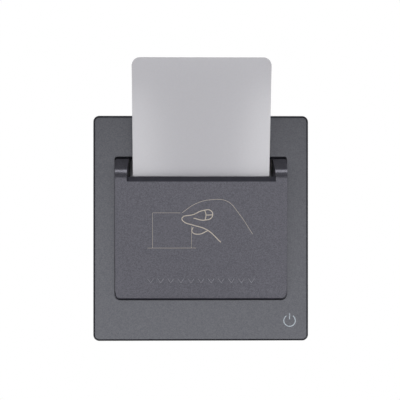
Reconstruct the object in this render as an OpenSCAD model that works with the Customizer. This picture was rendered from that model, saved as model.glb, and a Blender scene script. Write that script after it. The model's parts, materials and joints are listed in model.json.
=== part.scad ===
// Hotel key card switch: a card in a slanted pocket holds down a spring follower,
// which works a small lever switch on a circuit board behind the front plate.
// The wall plane is y = 0, the front faces -Y, and the origin is midway between
// the two fixing slots. Lengths are in millimetres.

/* [Card] */
// Width of the card
card_w = 53.98; // [50:0.01:58]
// Length of the card
card_h = 85.6; // [80:0.1:90]
// Thickness of the card
card_t = 0.76; // [0.6:0.02:0.9]
// Radius of the card's corners
card_corner_r = 3.18; // [2:0.01:5]
// How far the card leans out from the wall, in degrees
card_lean = 15; // [13:0.5:16]
// Length of card that the slot takes
card_in = 38.6; // [36:0.1:41]

/* [Front plate] */
// Width of the plate beside its opening
plate_side = 8.5; // [7.5:0.1:12]
// Height of the plate above and below its opening
plate_end = 16.4; // [14:0.1:20]
// How far the plate's front stands off the wall
plate_out = 10.5; // [10:0.1:13]
// Radius of the plate's corners
plate_corner_r = 2.4; // [2.2:0.1:4]
// Radius of the plate's front edge
plate_edge_r = 0.9; // [0.5:0.1:1.4]
// Wall of the plate
plate_wall = 2; // [1.6:0.1:2.4]

/* [Pocket cover] */
// Height of the pocket cover
cover_h = 56; // [54:0.1:60]
// Wall of the pocket cover
cover_wall = 2.2; // [1.8:0.1:2.6]
// Rise of the cover's front over the plate at its foot
cover_foot_rise = 2.5; // [1.5:0.1:3.5]
// Rise of the cover's front over the plate at the mouth
cover_mouth_rise = 7.3; // [6.5:0.1:8.5]
// How much each side draws in from the plate to the front
cover_draft = 0.25; // [0:0.05:0.5]
// Radius of the cover's lower corners
cover_foot_r = 2; // [1:0.1:3]
// Radius of the cover's upper corners
cover_top_r = 0.6; // [0.3:0.1:1]
// Width of the ear on each side of the mouth
ear_w = 5.5; // [4.5:0.1:7]
// Drop from the cover's top to the ears' front corner
ear_drop = 5.4; // [5:0.1:7]
// Radius of the ears' rolled top
ear_r = 5; // [3:0.1:5.3]
// Depth of the solid ear below the cover's top
ear_depth = 12.6; // [12:0.1:14]
// Drop from the cover's top to the mouth's front edge
mouth_drop = 9.1; // [8.5:0.1:10.5]
// Rise of the lead-in face from the mouth's front edge to its back edge
mouth_lead_in = 2; // [1:0.1:2.5]
// Gap between the card and each ear
mouth_side_gap = 1.71; // [1.3:0.01:2.5]
// Flare of each ear from the plate to the front
mouth_flare = 0.6; // [0:0.1:1]
// Gap between the card's face and the mouth's back edge
card_front_gap = 0.6; // [0.4:0.05:1]
// Thickness of the flange behind the plate
flange_t = 1.5; // [1.2:0.1:1.8]
// Width of the flange past the opening
flange_lap = 2.3; // [1.5:0.1:2.8]

/* [Mounting frame] */
// Distance between the two wall fixings
fixing_pitch = 60.3; // [58:0.1:63]
// Width of each fixing slot
fixing_slot_w = 4; // [3.6:0.1:4.6]
// Length of each fixing slot
fixing_slot_l = 6.5; // [5:0.1:8]
// Room for a driver over each fixing, across
fixing_access = 8.8; // [8:0.1:9.4]
// Thickness of the frame
frame_t = 2.5; // [2:0.1:2.8]
// Gap between the frame's sides and the plate's wall
frame_inset = 2; // [1.5:0.1:3]
// Gap between the frame's ends and the plate's wall
frame_end_inset = 3; // [2.5:0.1:4]
// Width of each latch
latch_w = 8; // [6:0.1:10]
// Thickness of each latch
latch_t = 1.4; // [1:0.1:1.8]
// How far each latch hooks over its ledge
latch_bite = 1; // [0.7:0.1:1.2]

/* [Card cradle] */
// Gap between the card and each rail's groove wall
groove_gap = 0.32; // [0.3:0.01:0.5]
// How far each rail's lips lap over the card's edge
groove_lap = 0.7; // [0.4:0.1:1]
// Width of each rail
rail_w = 4; // [3.6:0.1:4.4]
// Thickness of each rail's front lip
lip_t = 1.5; // [1:0.1:2]
// Distance along the card from the mouth to the rails' top
rail_drop = 8.3; // [8:0.1:11]
// Gap between the card's middle and the cradle's back wall
back_gap = 1.6; // [1.5:0.05:1.8]
// Thickness of the cradle's back wall
back_t = 1.8; // [1.5:0.1:2]
// Width of each grip spring
grip_w = 6; // [4:0.1:8]
// Thickness of each grip spring
grip_t = 0.3; // [0.2:0.05:0.4]

/* [Follower and spring] */
// Travel of the follower
follower_travel = 3; // [2:0.1:3.2]
// Length of the follower's bar
follower_l = 18; // [16:0.1:20]
// Depth of the follower's bar along the card
follower_h = 2.5; // [2:0.1:3]
// Thickness of the follower's bar
follower_t = 2.6; // [2:0.1:2.6]
// Drop of the follower's arm below its bar
arm_drop = 3; // [2.5:0.1:3.5]
// Wire of the return spring
spring_wire = 0.4; // [0.3:0.05:0.5]
// Mean width of the return spring
spring_w = 3.4; // [3:0.1:3.6]
// Length of the return spring with a card in place
spring_l = 6; // [5.5:0.1:6.5]
// Turns of the return spring
spring_turns = 6; // [4:1:6]

/* [Lever switch] */
// Length of the switch
switch_l = 12.8; // [12:0.1:14]
// Height of the switch
switch_h = 6.5; // [6:0.1:7]
// Thickness of the switch
switch_t = 5.8; // [5.4:0.1:6.2]
// Distance from the lever's pin to the follower's arm
lever_reach = 11; // [10.5:0.1:12]
// Width of the lever
lever_w = 2.2; // [1.8:0.1:2.6]
// Thickness of the lever
lever_t = 0.3; // [0.2:0.05:0.4]
// Radius of the lever's pin
lever_pin_r = 0.35; // [0.3:0.05:0.4]
// Height of the plunger over the switch with a card in place
plunger_shown = 0.6; // [0.5:0.1:0.8]
// Distance from the lever's pin to the plunger
plunger_reach = 3.2; // [3:0.1:4]

/* [Circuit board] */
// Width of the board
board_w = 46; // [42:0.1:50]
// Height of the board
board_h = 58; // [54:0.1:62]
// Thickness of the board
board_t = 1.6; // [1:0.1:2]
// Lap of the board on the frame's back
board_lap = 1.5; // [1:0.1:1.6]
// Spacing of the wire terminals
terminal_pitch = 8.6; // [8:0.1:9]
// Number of wire terminals
terminal_count = 4; // [3:1:4]
// Depth of the terminal block along the board
terminal_d = 11.8; // [10.8:0.1:13]
// Relay length, depth and height off the board
relay_size = [20.3, 10.2, 15.6];
// Film capacitor length, depth and height off the board
film_size = [12.5, 6, 11];
// Bridge rectifier length, depth and height off the board
bridge_size = [8.6, 6.6, 3.4];
// Timer chip length, depth and height off the board
chip_size = [9.6, 6.4, 3.4];
// Radius of the electrolytic capacitor
electrolytic_r = 4; // [3:0.1:5]
// Height of the electrolytic capacitor
electrolytic_h = 12; // [8:0.1:14]
// Radius of the fuse
fuse_r = 4.2; // [3.5:0.1:4.6]
// Height of the fuse
fuse_h = 8; // [6:0.1:10]
// Radius of the varistor's disc
varistor_r = 4.5; // [3.5:0.1:5]
// Thickness of the varistor's disc
varistor_t = 4; // [3:0.1:5]
// Radius of the power resistor
resistor_r = 1.8; // [1.2:0.1:2]
// Length of the power resistor
resistor_l = 10; // [7:0.1:11]
// Radius of the relay driver's round back
driver_r = 2.3; // [2:0.1:2.5]
// Radius of the light guide
guide_r = 2.4; // [1.8:0.1:2.8]

/* [Rear housing] */
// Depth of the housing behind the wall plane
housing_depth = 20; // [19.5:0.1:26]
// Wall of the housing
housing_wall = 1.8; // [1.5:0.1:2.4]
// Distance between the upper and lower lugs
lug_spread = 42; // [38:0.1:44]
// Width of each lug
lug_w = 6.4; // [6:0.1:7]
// Length of each lug beside the housing
lug_l = 6.2; // [5.6:0.1:7]
// Thickness of each lug
lug_t = 1.8; // [1.5:0.1:2.2]
// Radius of the screws' shanks
screw_r = 1.1; // [0.9:0.05:1.2]
// Radius of the screws' heads
screw_head_r = 2; // [1.8:0.1:2.1]
// Height of the screws' heads
screw_head_h = 1.2; // [1:0.1:1.4]

/* [Clearances] */
// Gap round the cover in the plate's opening
cover_gap = 0.3; // [0.2:0.05:0.4]
// Gap over the cover in the plate's opening
cover_top_gap = 0.9; // [0.4:0.05:1.1]
// Gap between each latch and the ledge's edge
latch_gap = 0.4; // [0.3:0.05:0.5]
// Gap round the board in the rear housing
board_gap = 0.2; // [0.1:0.05:0.3]
// Gap between parts that snap or stand together
seat_gap = 0.15; // [0.1:0.05:0.2]
// Gap between parts that slide past each other
slide_gap = 0.3; // [0.25:0.05:0.35]
// Gap between parts that push on each other
touch_gap = 0.1; // [0.05:0.05:0.15]
// Radial gap of screws and pins in their holes
hole_gap = 0.05; // [0.03:0.01:0.08]

/* [Hidden] */
$fn = 48;
hull_fn = 32;
// Overlap that joins solids, and overshoot of cuts
join = 0.05;
over = 1;

// Cover and plate, in heights up the wall and distances out of it
mouth_w = card_w + 2 * mouth_side_gap;
cover_w = mouth_w + 2 * ear_w;
opening_w = cover_w + 2 * cover_gap;
opening_h = cover_h + cover_gap + cover_top_gap;
plate_w = opening_w + 2 * plate_side;
plate_h = opening_h + 2 * plate_end;
plate_back = plate_out - plate_wall;
cover_top = opening_h / 2 - cover_top_gap;
cover_foot = cover_top - cover_h;
mouth_edge = cover_top - mouth_drop;
mouth_back = mouth_edge + mouth_lead_in;
ear_corner = cover_top - ear_drop;
ear_foot = cover_top - ear_depth;
front_slope = (cover_mouth_rise - cover_foot_rise) / (mouth_edge - cover_foot);
function front_out(up) = plate_out + cover_foot_rise + (up - cover_foot) * front_slope;
function inner_out(up) = front_out(up) - cover_wall;
flange_front = plate_back - seat_gap;
flange_back = flange_front - flange_t;
flange_w = opening_w + 2 * flange_lap;
flange_h = opening_h + 2 * flange_lap;
flange_corner_r = 1;
hook_up = 14;
hook_w = 6;
hook_t = 1.5;
hook_bite = 0.9;
hook_h = 1.3;
cut_h = 2 * plate_h;

// Rolled top of the ears: a circle that touches the front face and the shoulder
ear_tip = [ear_corner, front_out(ear_corner)];
shoulder_end = [cover_top, plate_out];
front_dir = [1, front_slope] / norm([1, front_slope]);
shoulder_dir = (shoulder_end - ear_tip) / norm(shoulder_end - ear_tip);
ear_turn = acos(front_dir * shoulder_dir);
ear_tangent = ear_r * tan(ear_turn / 2);
ear_start = ear_tip - front_dir * ear_tangent;
ear_end = ear_tip + shoulder_dir * ear_tangent;
ear_centre = ear_start + [front_dir[1], -front_dir[0]] * ear_r;

// Slot: along runs up the card from its seated lower edge, off stands out from its middle
slot_dir = [cos(card_lean), sin(card_lean)];
slot_off = [-sin(card_lean), cos(card_lean)];
mouth_card = [mouth_back, inner_out(mouth_back)] - slot_off * (card_front_gap + card_t / 2);
slot_foot = mouth_card - slot_dir * card_in;
function slot_at(along, off) = slot_foot + slot_dir * along + slot_off * off;
function in_slot_at(place) = [(place - slot_foot) * slot_dir, (place - slot_foot) * slot_off];
groove_half = card_w / 2 + groove_gap;
lip_half = card_w / 2 - groove_lap;
groove_off = card_t / 2 + groove_gap;
rail_off = groove_off + lip_t;
rail_half = groove_half + rail_w;
rail_l = card_in - rail_drop;

// Follower, its spring and the cup that holds the spring
bar_top = -touch_gap;
stop_top = -2 * touch_gap;
bar_foot = bar_top - follower_h;
arm_foot = bar_foot - arm_drop;
arm_w = 2.4;
arm_relief = 0.4;
arm_t = follower_t - arm_relief;
arm_x = -6;
spring_foot = bar_foot - spring_l;
spring_r = spring_w / 2;
spring_pin_gap = 0.5;
spring_pin_r = spring_r - spring_wire / 2 - spring_pin_gap;
spring_pin_l = 2;
cup_r = spring_r + spring_wire / 2 + slide_gap;
cup_wall = 1.1;
cup_half = cup_r + cup_wall;
cup_foot = spring_foot - cup_wall;
trough_half = follower_l / 2 + slide_gap;
trough_wall = 1.8;
trough_drop = 2.4;
trough_foot = bar_foot - trough_drop;
cup_top = trough_foot + join;

// Lever switch, hung from where the follower's arm presses
arm_low = min([for (s = [-1, 1]) slot_at(arm_foot, s * arm_t / 2)[0]]);
lever_top = arm_low - touch_gap;
lever_low = lever_top - lever_t;
pivot_x = arm_x - lever_reach;
pivot_up = lever_top - lever_t / 2;
lever_past = 2.2;
lever_slope = follower_travel * cos(card_lean) / (lever_reach + arm_w / 2);
lever_rise = (lever_reach + lever_past) * lever_slope;
barrel_wall = 0.35;
barrel_r = lever_pin_r + hole_gap + barrel_wall;
switch_top = lever_low - touch_gap - plunger_shown;
switch_foot = switch_top - switch_h;
switch_behind = 1.6;
switch_left = pivot_x - switch_behind;
switch_mid_out = switch_t / 2;
post_t = 0.8;
post_half = 1.15;
post_gap = 0.12;
post_in = lever_w / 2 + post_gap;
plunger_l = 1.4;
plunger_t = 2.2;
plunger_h = 1.5;
pin_pitch = 5.08;
pin_t = 0.7;
pin_half = 0.45;

// Board and what stands on it
board_edge = 1.7;
board_foot = switch_foot - pin_t - board_edge;
board_top = board_foot + board_h;
board_mid = (board_foot + board_top) / 2;
part_gap = 1.5;
board_margin = 2.4;
row_left = -board_w / 2 + board_margin;
terminal_end = 0.8;
terminal_edge = 1.2;
terminal_sink = 0.8;
terminal_w = terminal_count * terminal_pitch + 2 * terminal_end;
terminal_top = board_top - terminal_edge;
terminal_foot = terminal_top - terminal_d;
terminal_back = housing_depth - terminal_sink;
row_2_half = max(electrolytic_r, fuse_r, varistor_t / 2);
row_1 = terminal_foot - part_gap - relay_size[1] / 2;
row_2 = row_1 - relay_size[1] / 2 - part_gap - row_2_half;
row_3 = row_2 - row_2_half - part_gap - bridge_size[1] / 2;
row_4 = row_3 - bridge_size[1] / 2 - part_gap - resistor_r;
lead_r = 0.4;
lead_rise = 0.8;
lead_reach = 1.2;
driver_h = 4.6;
driver_pitch = 1.27;
board_corner_r = 1;
chip_corner_r = 0.5;

// Housing and screws
housing_corner_r = 2;
housing_in_w = board_w + 2 * board_gap;
housing_w = housing_in_w + 2 * housing_wall;
housing_top = board_top + board_gap + housing_wall;
housing_foot = board_foot - board_gap - housing_wall;
lug_x = housing_w / 2 + lug_l / 2;
lug_up = [board_mid - lug_spread / 2, board_mid + lug_spread / 2];
boss_wall = 1.7;
boss_h = 3;
boss_cap = 0.6;
boss_r = screw_r + boss_wall;
boss_out = frame_t + boss_h;
screw_hole_r = screw_r + hole_gap;
screw_drive_w = 0.5;
screw_drive_l = 2.4;
column_r = 2.3;
cradle_screw_x = groove_half + rail_w / 2;
cradle_screw_along = [4.5, rail_l - column_r - touch_gap];
cradle_screw_up = [for (along = cradle_screw_along) slot_at(along, -back_gap)[0]];
cradle_screw_tip = 6.4;

// Mounting frame
frame_w = plate_w - 2 * (plate_wall + frame_inset);
frame_h = plate_h - 2 * (plate_wall + frame_end_inset);
frame_corner_r = 3;
frame_open_w = board_w - 2 * board_lap;
latch_x = 25;
latch_inset = 1.2;
latch_face = frame_h / 2 - latch_inset;
ledge_rise = 1;
ledge_side = 1;
ledge_low = frame_t + ledge_rise;
ledge_t = 1.4;
barb_low = ledge_low + ledge_t + seat_gap;
barb_h = 1.5;

// Light guide behind the mouth
guide_up = board_top - board_lap - slide_gap - guide_r;
guide_collar = 0.9;
guide_sink = 0.2;
led_size = [3.5, 2.8, 1.9];
funnel_past = 2.2;
funnel_clear = 1.4;
funnel_t = 1.7;
funnel_half = mouth_w / 2 - slide_gap;
funnel_low = slot_at(rail_l, -back_gap);
funnel_high = [cover_top + funnel_past, flange_back - funnel_clear];
function funnel_out(up) = funnel_high[1]
    + (funnel_low[1] - funnel_high[1]) * (funnel_high[0] - up) / (funnel_high[0] - funnel_low[0]);

// Local axes on the wall: x across, y up, z out of the wall
module on_wall() { rotate([90, 0, 0]) children(); }

// Local axes in the slot: x across, y up the card, z out of its face
module in_slot() {
    on_wall() translate([0, slot_foot[0], slot_foot[1]]) rotate([card_lean, 0, 0]) children();
}

// A drawing of (up, out) made into a bar across the wall
module across(width) { rotate([90, 0, 90]) linear_extrude(width, center = true) children(); }

// A drawing of (across, out) made into a tall bar
module upright(height) { rotate([90, 0, 0]) linear_extrude(height, center = true) children(); }

module both_sides() {
    children();
    mirror([1, 0, 0]) children();
}

// A block between two values on each axis
module span(x, y, z) {
    translate([x[0], y[0], z[0]]) cube([x[1] - x[0], y[1] - y[0], z[1] - z[0]]);
}

// A flat outline from y[0] to y[1] with its own radius at the lower and upper corners
module rounded(width, y, low_r, high_r) {
    translate([-width / 2, y[0] + low_r]) square([width, y[1] - y[0] - low_r - high_r]);
    for (end = [[y[0], y[0] + low_r, low_r], [y[1] - high_r, y[1] - high_r, high_r]]) {
        translate([-width / 2 + end[2], end[0]]) square([width - 2 * end[2], end[2]]);
        for (s = [-1, 1]) translate([s * (width / 2 - end[2]), end[1]]) circle(end[2]);
    }
}

module rounded_block(width, y, r, z) {
    translate([0, 0, z[0]]) linear_extrude(z[1] - z[0]) rounded(width, y, r, r);
}

module pin(x, y, r, z) {
    translate([x, y, z[0]]) cylinder(r = r, h = z[1] - z[0]);
}

// Front plate: a shallow tray with a rounded front edge, an opening, hooks and ledges
module plate_skin() {
    steps = 4;
    hull() {
        for (k = [0 : steps]) {
            inset = plate_edge_r * (1 - cos(90 * k / steps));
            top = plate_out - plate_edge_r * (1 - sin(90 * k / steps));
            rounded_block(
                plate_w - 2 * inset, [-plate_h / 2 + inset, plate_h / 2 - inset],
                plate_corner_r - inset, [0, top], $fn = hull_fn
            );
        }
    }
}

module cover_hook() {
    post = flange_w / 2 + seat_gap;
    high = flange_back - seat_gap;
    low = high - hook_h;
    for (up = [-hook_up, hook_up]) {
        y = [up - hook_w / 2, up + hook_w / 2];
        span([post, post + hook_t], y, [low, plate_back + join]);
        span([post - hook_bite, post + join], y, [low, high]);
    }
}

module latch_ledge() {
    reach = [latch_face + latch_gap, plate_h / 2 - plate_wall + join];
    half = latch_w / 2 + ledge_side;
    for (side = [0, 1]) {
        mirror([0, side, 0])
            span([latch_x - half, latch_x + half], reach, [ledge_low, ledge_low + ledge_t]);
    }
}

module front_plate() {
    color("#67686d") on_wall() {
        difference() {
            plate_skin();
            rounded_block(
                plate_w - 2 * plate_wall, [-plate_h / 2 + plate_wall, plate_h / 2 - plate_wall],
                plate_corner_r / 2, [-over, plate_back]
            );
            translate([0, 0, plate_back - over]) linear_extrude(plate_wall + 2 * over) {
                rounded(
                    opening_w, [-opening_h / 2, opening_h / 2],
                    cover_foot_r + cover_gap, cover_top_r + cover_gap
                );
            }
        }
        both_sides() {
            cover_hook();
            latch_ledge();
        }
    }
}

// Pocket cover: a wedge shell with two ears, a mouth between them and a flange behind the plate
module cover_profile() {
    polygon([
        [cover_foot, flange_back], [cover_foot, front_out(cover_foot)], ear_start, ear_end,
        shoulder_end, [cover_top, flange_back]
    ]);
    translate(ear_centre) circle(ear_r);
}

module cover_sides() {
    front = front_out(ear_corner) + over;
    half = cover_w / 2;
    tip = half - cover_draft;
    polygon([
        [-half, flange_back - over], [half, flange_back - over], [half, plate_out], [tip, front],
        [-tip, front], [-half, plate_out]
    ]);
}

module cover_body() {
    far = front_out(cover_top) + over;
    intersection() {
        across(cover_w + 2 * over) cover_profile();
        upright(cut_h) cover_sides();
        translate([0, 0, flange_back - over]) linear_extrude(far - flange_back + 2 * over) {
            rounded(cover_w, [cover_foot, cover_top], cover_foot_r, cover_top_r);
        }
    }
}

module cover_hollow() {
    low = cover_foot + cover_wall;
    across(cover_w - 2 * cover_wall) polygon([
        [low, flange_back - over], [low, inner_out(low)], [ear_foot, inner_out(ear_foot)],
        [ear_foot, flange_back - over]
    ]);
}

module mouth_cut() {
    inner_edge = [mouth_back, inner_out(mouth_back)];
    lead_end = 2 * [mouth_edge, front_out(mouth_edge)] - inner_edge;
    far_up = cover_top + over;
    far_out = front_out(far_up) + ear_depth;
    low = ear_foot - over;
    half = mouth_w / 2;
    wide = half + mouth_flare;
    intersection() {
        across(mouth_w + 4 * mouth_flare + 2 * over) polygon([
            [low, flange_back - over], [low, inner_out(low)], inner_edge, lead_end,
            [far_up, far_out], [far_up, flange_back - over]
        ]);
        upright(cut_h) polygon([
            [-half, flange_back - 2 * over], [half, flange_back - 2 * over], [half, plate_out],
            [wide, front_out(mouth_edge)], [wide, far_out + over], [-wide, far_out + over],
            [-wide, front_out(mouth_edge)], [-half, plate_out]
        ]);
    }
}

module cover_flange() {
    difference() {
        rounded_block(flange_w, [-flange_h / 2, flange_h / 2], flange_corner_r, [flange_back, flange_front]);
        translate([0, 0, flange_back - over]) linear_extrude(flange_t + 2 * over) {
            rounded(
                cover_w - 2 * join, [cover_foot + join, cover_top - join], cover_foot_r, cover_top_r
            );
        }
    }
}

module pocket_cover() {
    color("#646369") on_wall() {
        difference() {
            cover_body();
            cover_hollow();
            mouth_cut();
        }
        cover_flange();
    }
}

module key_card() {
    color("#b9b8be") in_slot() {
        rounded_block(card_w, [0, card_h], card_corner_r, [-card_t / 2, card_t / 2]);
    }
}

// Mounting frame: a flat frame on the wall with fixing slots, screw bosses and four latches
module fixing_slot() {
    half = (fixing_slot_l - fixing_slot_w) / 2;
    x = fixing_pitch / 2;
    r = fixing_slot_w / 2;
    z = [-over, frame_t + over];
    for (s = [-1, 1]) pin(x + s * half, 0, r, z);
    span([x - half, x + half], [-r, r], z);
}

module frame_latch() {
    x = [latch_x - latch_w / 2, latch_x + latch_w / 2];
    for (side = [0, 1]) {
        mirror([0, side, 0]) {
            span(x, [latch_face - latch_t, latch_face], [frame_t - join, barb_low + barb_h]);
            span(x, [latch_face - join, latch_face + latch_bite], [barb_low, barb_low + barb_h]);
        }
    }
}

module mounting_frame() {
    color("#d8d6cf") on_wall() {
        difference() {
            union() {
                rounded_block(frame_w, [-frame_h / 2, frame_h / 2], frame_corner_r, [0, frame_t]);
                both_sides() {
                    frame_latch();
                    for (up = lug_up) pin(lug_x, up, boss_r, [frame_t - join, boss_out]);
                }
            }
            span(
                [-frame_open_w / 2, frame_open_w / 2],
                [board_foot + board_lap, board_top - board_lap], [-over, frame_t + over]
            );
            both_sides() {
                fixing_slot();
                for (up = lug_up) pin(lug_x, up, screw_hole_r, [-over, boss_out - boss_cap]);
                for (up = cradle_screw_up) {
                    pin(cradle_screw_x, up, screw_hole_r, [-over, frame_t + over]);
                    pin(cradle_screw_x, up, screw_head_r + seat_gap, [-over, screw_head_h]);
                }
            }
        }
    }
}

// Card cradle: back wall, grooved rails, follower trough with a spring cup, and a funnel wall
module rail_section() {
    polygon([
        [lip_half, -back_gap - back_t], [rail_half, -back_gap - back_t], [rail_half, rail_off],
        [lip_half, rail_off], [lip_half, groove_off], [groove_half, groove_off],
        [groove_half, -groove_off], [lip_half, -groove_off]
    ]);
}

module cradle_slot_walls() {
    back = [-back_gap - back_t, -back_gap];
    front = [back_gap, back_gap + lip_t];
    deep = [back[0], front[1]];
    trough_out = trough_half + trough_wall;
    span([-rail_half, rail_half], [-follower_h, rail_l], back);
    translate([0, (rail_l - follower_h) / 2, 0])
        both_sides() upright(rail_l + follower_h) rail_section();
    both_sides() span([trough_half, rail_half], [-follower_h, stop_top], deep);
    both_sides() span([trough_half, trough_out], [trough_foot, stop_top], deep);
    span([-trough_out, trough_out], [trough_foot, stop_top], back);
    span([-trough_out, trough_out], [trough_foot, stop_top], front);
    span([-cup_half, cup_half], [cup_foot, cup_top], deep);
    across(2 * funnel_half) polygon([
        [rail_l - back_t, -back_gap], [rail_l, -back_gap], in_slot_at(funnel_high),
        in_slot_at(funnel_high - [0, funnel_t]), [rail_l - back_t, -back_gap - back_t]
    ]);
}

// The space that the lever sweeps, with a clearance all round
module lever_sweep() {
    half = lever_w / 2 + slide_gap;
    span(
        [pivot_x, arm_x + lever_past + slide_gap],
        [lever_low - slide_gap, lever_top + lever_rise + slide_gap],
        [switch_mid_out - half, switch_mid_out + half]
    );
}

module card_cradle() {
    far = front_out(cover_top) + over;
    rest = [-cover_h, cover_h];
    in_opening = frame_open_w / 2 - slide_gap;
    color("#5c5c62") difference() {
        union() {
            intersection() {
                union() {
                    in_slot() cradle_slot_walls();
                    on_wall() both_sides() {
                        pin(
                            cradle_screw_x, cradle_screw_up[1], column_r,
                            [frame_t, slot_at(cradle_screw_along[1], -back_gap)[1]]
                        );
                    }
                }
                on_wall() union() {
                    span([-rail_half - over, rail_half + over], rest, [frame_t, far]);
                    span([-in_opening, in_opening], rest, [slide_gap, far]);
                }
            }
            in_slot() both_sides() {
                pin(grip_x, grip_stake, grip_stake_r, [-back_gap - join, -back_gap + grip_stake_h]);
            }
        }
        in_slot() translate([0, spring_foot, 0]) rotate([-90, 0, 0]) cylinder(r = cup_r, h = spring_l);
        on_wall() {
            lever_sweep();
            pin(0, guide_up, guide_r + hole_gap, [0, far]);
            both_sides() {
                pin(fixing_pitch / 2, 0, fixing_access / 2, [0, far]);
                for (up = cradle_screw_up) {
                    pin(cradle_screw_x, up, screw_hole_r, [0, cradle_screw_tip + seat_gap]);
                }
            }
        }
    }
}

// A screw that points out of the wall, with its head at head_out
module screw_out(x, up, head_out, tip_out) {
    difference() {
        union() {
            pin(x, up, screw_head_r, [head_out, head_out + screw_head_h]);
            pin(x, up, screw_r, [head_out + screw_head_h - join, tip_out]);
        }
        for (turn = [0, 90]) {
            translate([x, up, head_out]) rotate([0, 0, turn])
                cube([screw_drive_l, screw_drive_w, screw_head_h], center = true);
        }
    }
}

module cradle_screws() {
    color("#b8b9bc") on_wall() both_sides() {
        for (up = cradle_screw_up) screw_out(cradle_screw_x, up, 0, cradle_screw_tip);
    }
}

// Grip springs: bowed leaves on the cradle's back wall that press on the card
grip_x = 14;
grip_foot = 5;
grip_flat = 4;
grip_bow_l = 13;
grip_stake = grip_foot + grip_flat / 2;
grip_stake_r = 0.7;
grip_stake_h = 0.7;
grip_rise = back_gap - card_t / 2 - touch_gap - grip_t;
grip_bow_r = (pow(grip_bow_l / 2, 2) + pow(grip_rise, 2)) / (2 * grip_rise);
function grip_bow(lift) = [
    for (k = [0 : 12])
        let (a = grip_bow_l * (k / 12 - 0.5), y = sqrt(pow(grip_bow_r, 2) - pow(a, 2)))
        [grip_flat + grip_bow_l * k / 12, y - grip_bow_r + grip_rise + lift]
];
function reversed(list) = [for (k = [len(list) - 1 : -1 : 0]) list[k]];

module grip_leaf() {
    full = 2 * grip_flat + grip_bow_l;
    polygon(concat(
        [[0, 0], [0, grip_t]], grip_bow(grip_t), [[full, grip_t], [full, 0]], reversed(grip_bow(0))
    ));
}

module grip_springs() {
    color("#b58b4a") in_slot() both_sides() {
        difference() {
            translate([grip_x, grip_foot, -back_gap]) across(grip_w) grip_leaf();
            pin(grip_x, grip_stake, grip_stake_r + hole_gap, [-back_gap - over, 0]);
        }
    }
}

// Follower: a bar under the card with a spring pin and an arm that presses the lever
module card_follower() {
    half = follower_l / 2;
    color("#e8e6df") in_slot() {
        span([-half, half], [bar_foot, bar_top], [-follower_t / 2, follower_t / 2]);
        span(
            [arm_x - arm_w / 2, arm_x + arm_w / 2], [arm_foot, bar_foot + join],
            [-arm_t / 2, arm_t / 2]
        );
        translate([0, bar_foot + join, 0]) rotate([90, 0, 0])
            cylinder(r = spring_pin_r, h = spring_pin_l + join);
    }
}

// Return spring: one wire swept along a helix, eight rings of six sides to a turn
spring_rings = 8;
spring_sides = 6;
spring_steps = spring_turns * spring_rings;
spring_rise = spring_l - spring_wire - 2 * touch_gap;
function spring_turn(k) = 360 * k / spring_rings;
function spring_point(k) = [
    spring_r * cos(spring_turn(k)),
    spring_foot + touch_gap + spring_wire / 2 + spring_rise * k / spring_steps,
    spring_r * sin(spring_turn(k))
];
function spring_ring(k) = [
    for (s = [0 : spring_sides - 1])
        let (
            a = 360 * s / spring_sides,
            r = spring_r + spring_wire / 2 * cos(a),
            p = spring_point(k)
        )
        [r * cos(spring_turn(k)), p[1] + spring_wire / 2 * sin(a), r * sin(spring_turn(k))]
];
spring_gap = min([
    for (i = [0 : spring_steps - spring_rings], j = [i + spring_rings / 2 : spring_steps])
        norm(spring_point(i) - spring_point(j))
]) - spring_wire;
echo(spring_least_gap_mm = spring_gap);

module return_spring() {
    last = spring_steps * spring_sides;
    points = [for (k = [0 : spring_steps]) each spring_ring(k)];
    function corner(k, s) = k * spring_sides + s % spring_sides;
    sides = [
        for (k = [0 : spring_steps - 1], s = [0 : spring_sides - 1])
            each [
                [corner(k, s), corner(k + 1, s), corner(k + 1, s + 1)],
                [corner(k, s), corner(k + 1, s + 1), corner(k, s + 1)]
            ]
    ];
    start = [for (s = [1 : spring_sides - 2]) [0, s, s + 1]];
    finish = [for (s = [1 : spring_sides - 2]) [last, last + s + 1, last + s]];
    color("#c4c6c9") in_slot() polyhedron(points, concat(sides, start, finish));
}

// Lever switch: case, lever on its pin, plunger and bent pins
module switch_case() {
    right = switch_left + switch_l;
    mid = switch_mid_out;
    plunger_x = pivot_x + plunger_reach;
    color("#26262a") on_wall() difference() {
        union() {
            span([switch_left, right], [switch_foot, switch_top], [0, switch_t]);
            for (side = [-1, 1]) {
                centre = mid + side * (post_in + post_t / 2);
                span(
                    [pivot_x - post_half, pivot_x + post_half],
                    [switch_top - join, pivot_up + post_half],
                    [centre - post_t / 2, centre + post_t / 2]
                );
            }
        }
        pin(pivot_x, pivot_up, lever_pin_r + hole_gap, [0, switch_t]);
        span(
            [plunger_x - plunger_l / 2 - touch_gap, plunger_x + plunger_l / 2 + touch_gap],
            [switch_top - plunger_h - touch_gap, switch_top + over],
            [mid - plunger_t / 2 - touch_gap, mid + plunger_t / 2 + touch_gap]
        );
    }
}

module switch_lever() {
    z = [switch_mid_out - lever_w / 2, switch_mid_out + lever_w / 2];
    color("#c9cbd0") on_wall() difference() {
        union() {
            pin(pivot_x, pivot_up, barrel_r, z);
            span([pivot_x, arm_x + lever_past], [lever_low, lever_top], z);
        }
        pin(pivot_x, pivot_up, lever_pin_r + hole_gap, [z[0] - over, z[1] + over]);
    }
}

module lever_pin() {
    half = post_in + post_t;
    color("#a9abb0") on_wall() {
        pin(pivot_x, pivot_up, lever_pin_r, [switch_mid_out - half, switch_mid_out + half]);
    }
}

module switch_plunger() {
    x = pivot_x + plunger_reach;
    color("#c0392b") on_wall() span(
        [x - plunger_l / 2, x + plunger_l / 2], [switch_top - plunger_h, switch_top + plunger_shown],
        [switch_mid_out - plunger_t / 2, switch_mid_out + plunger_t / 2]
    );
}

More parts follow.
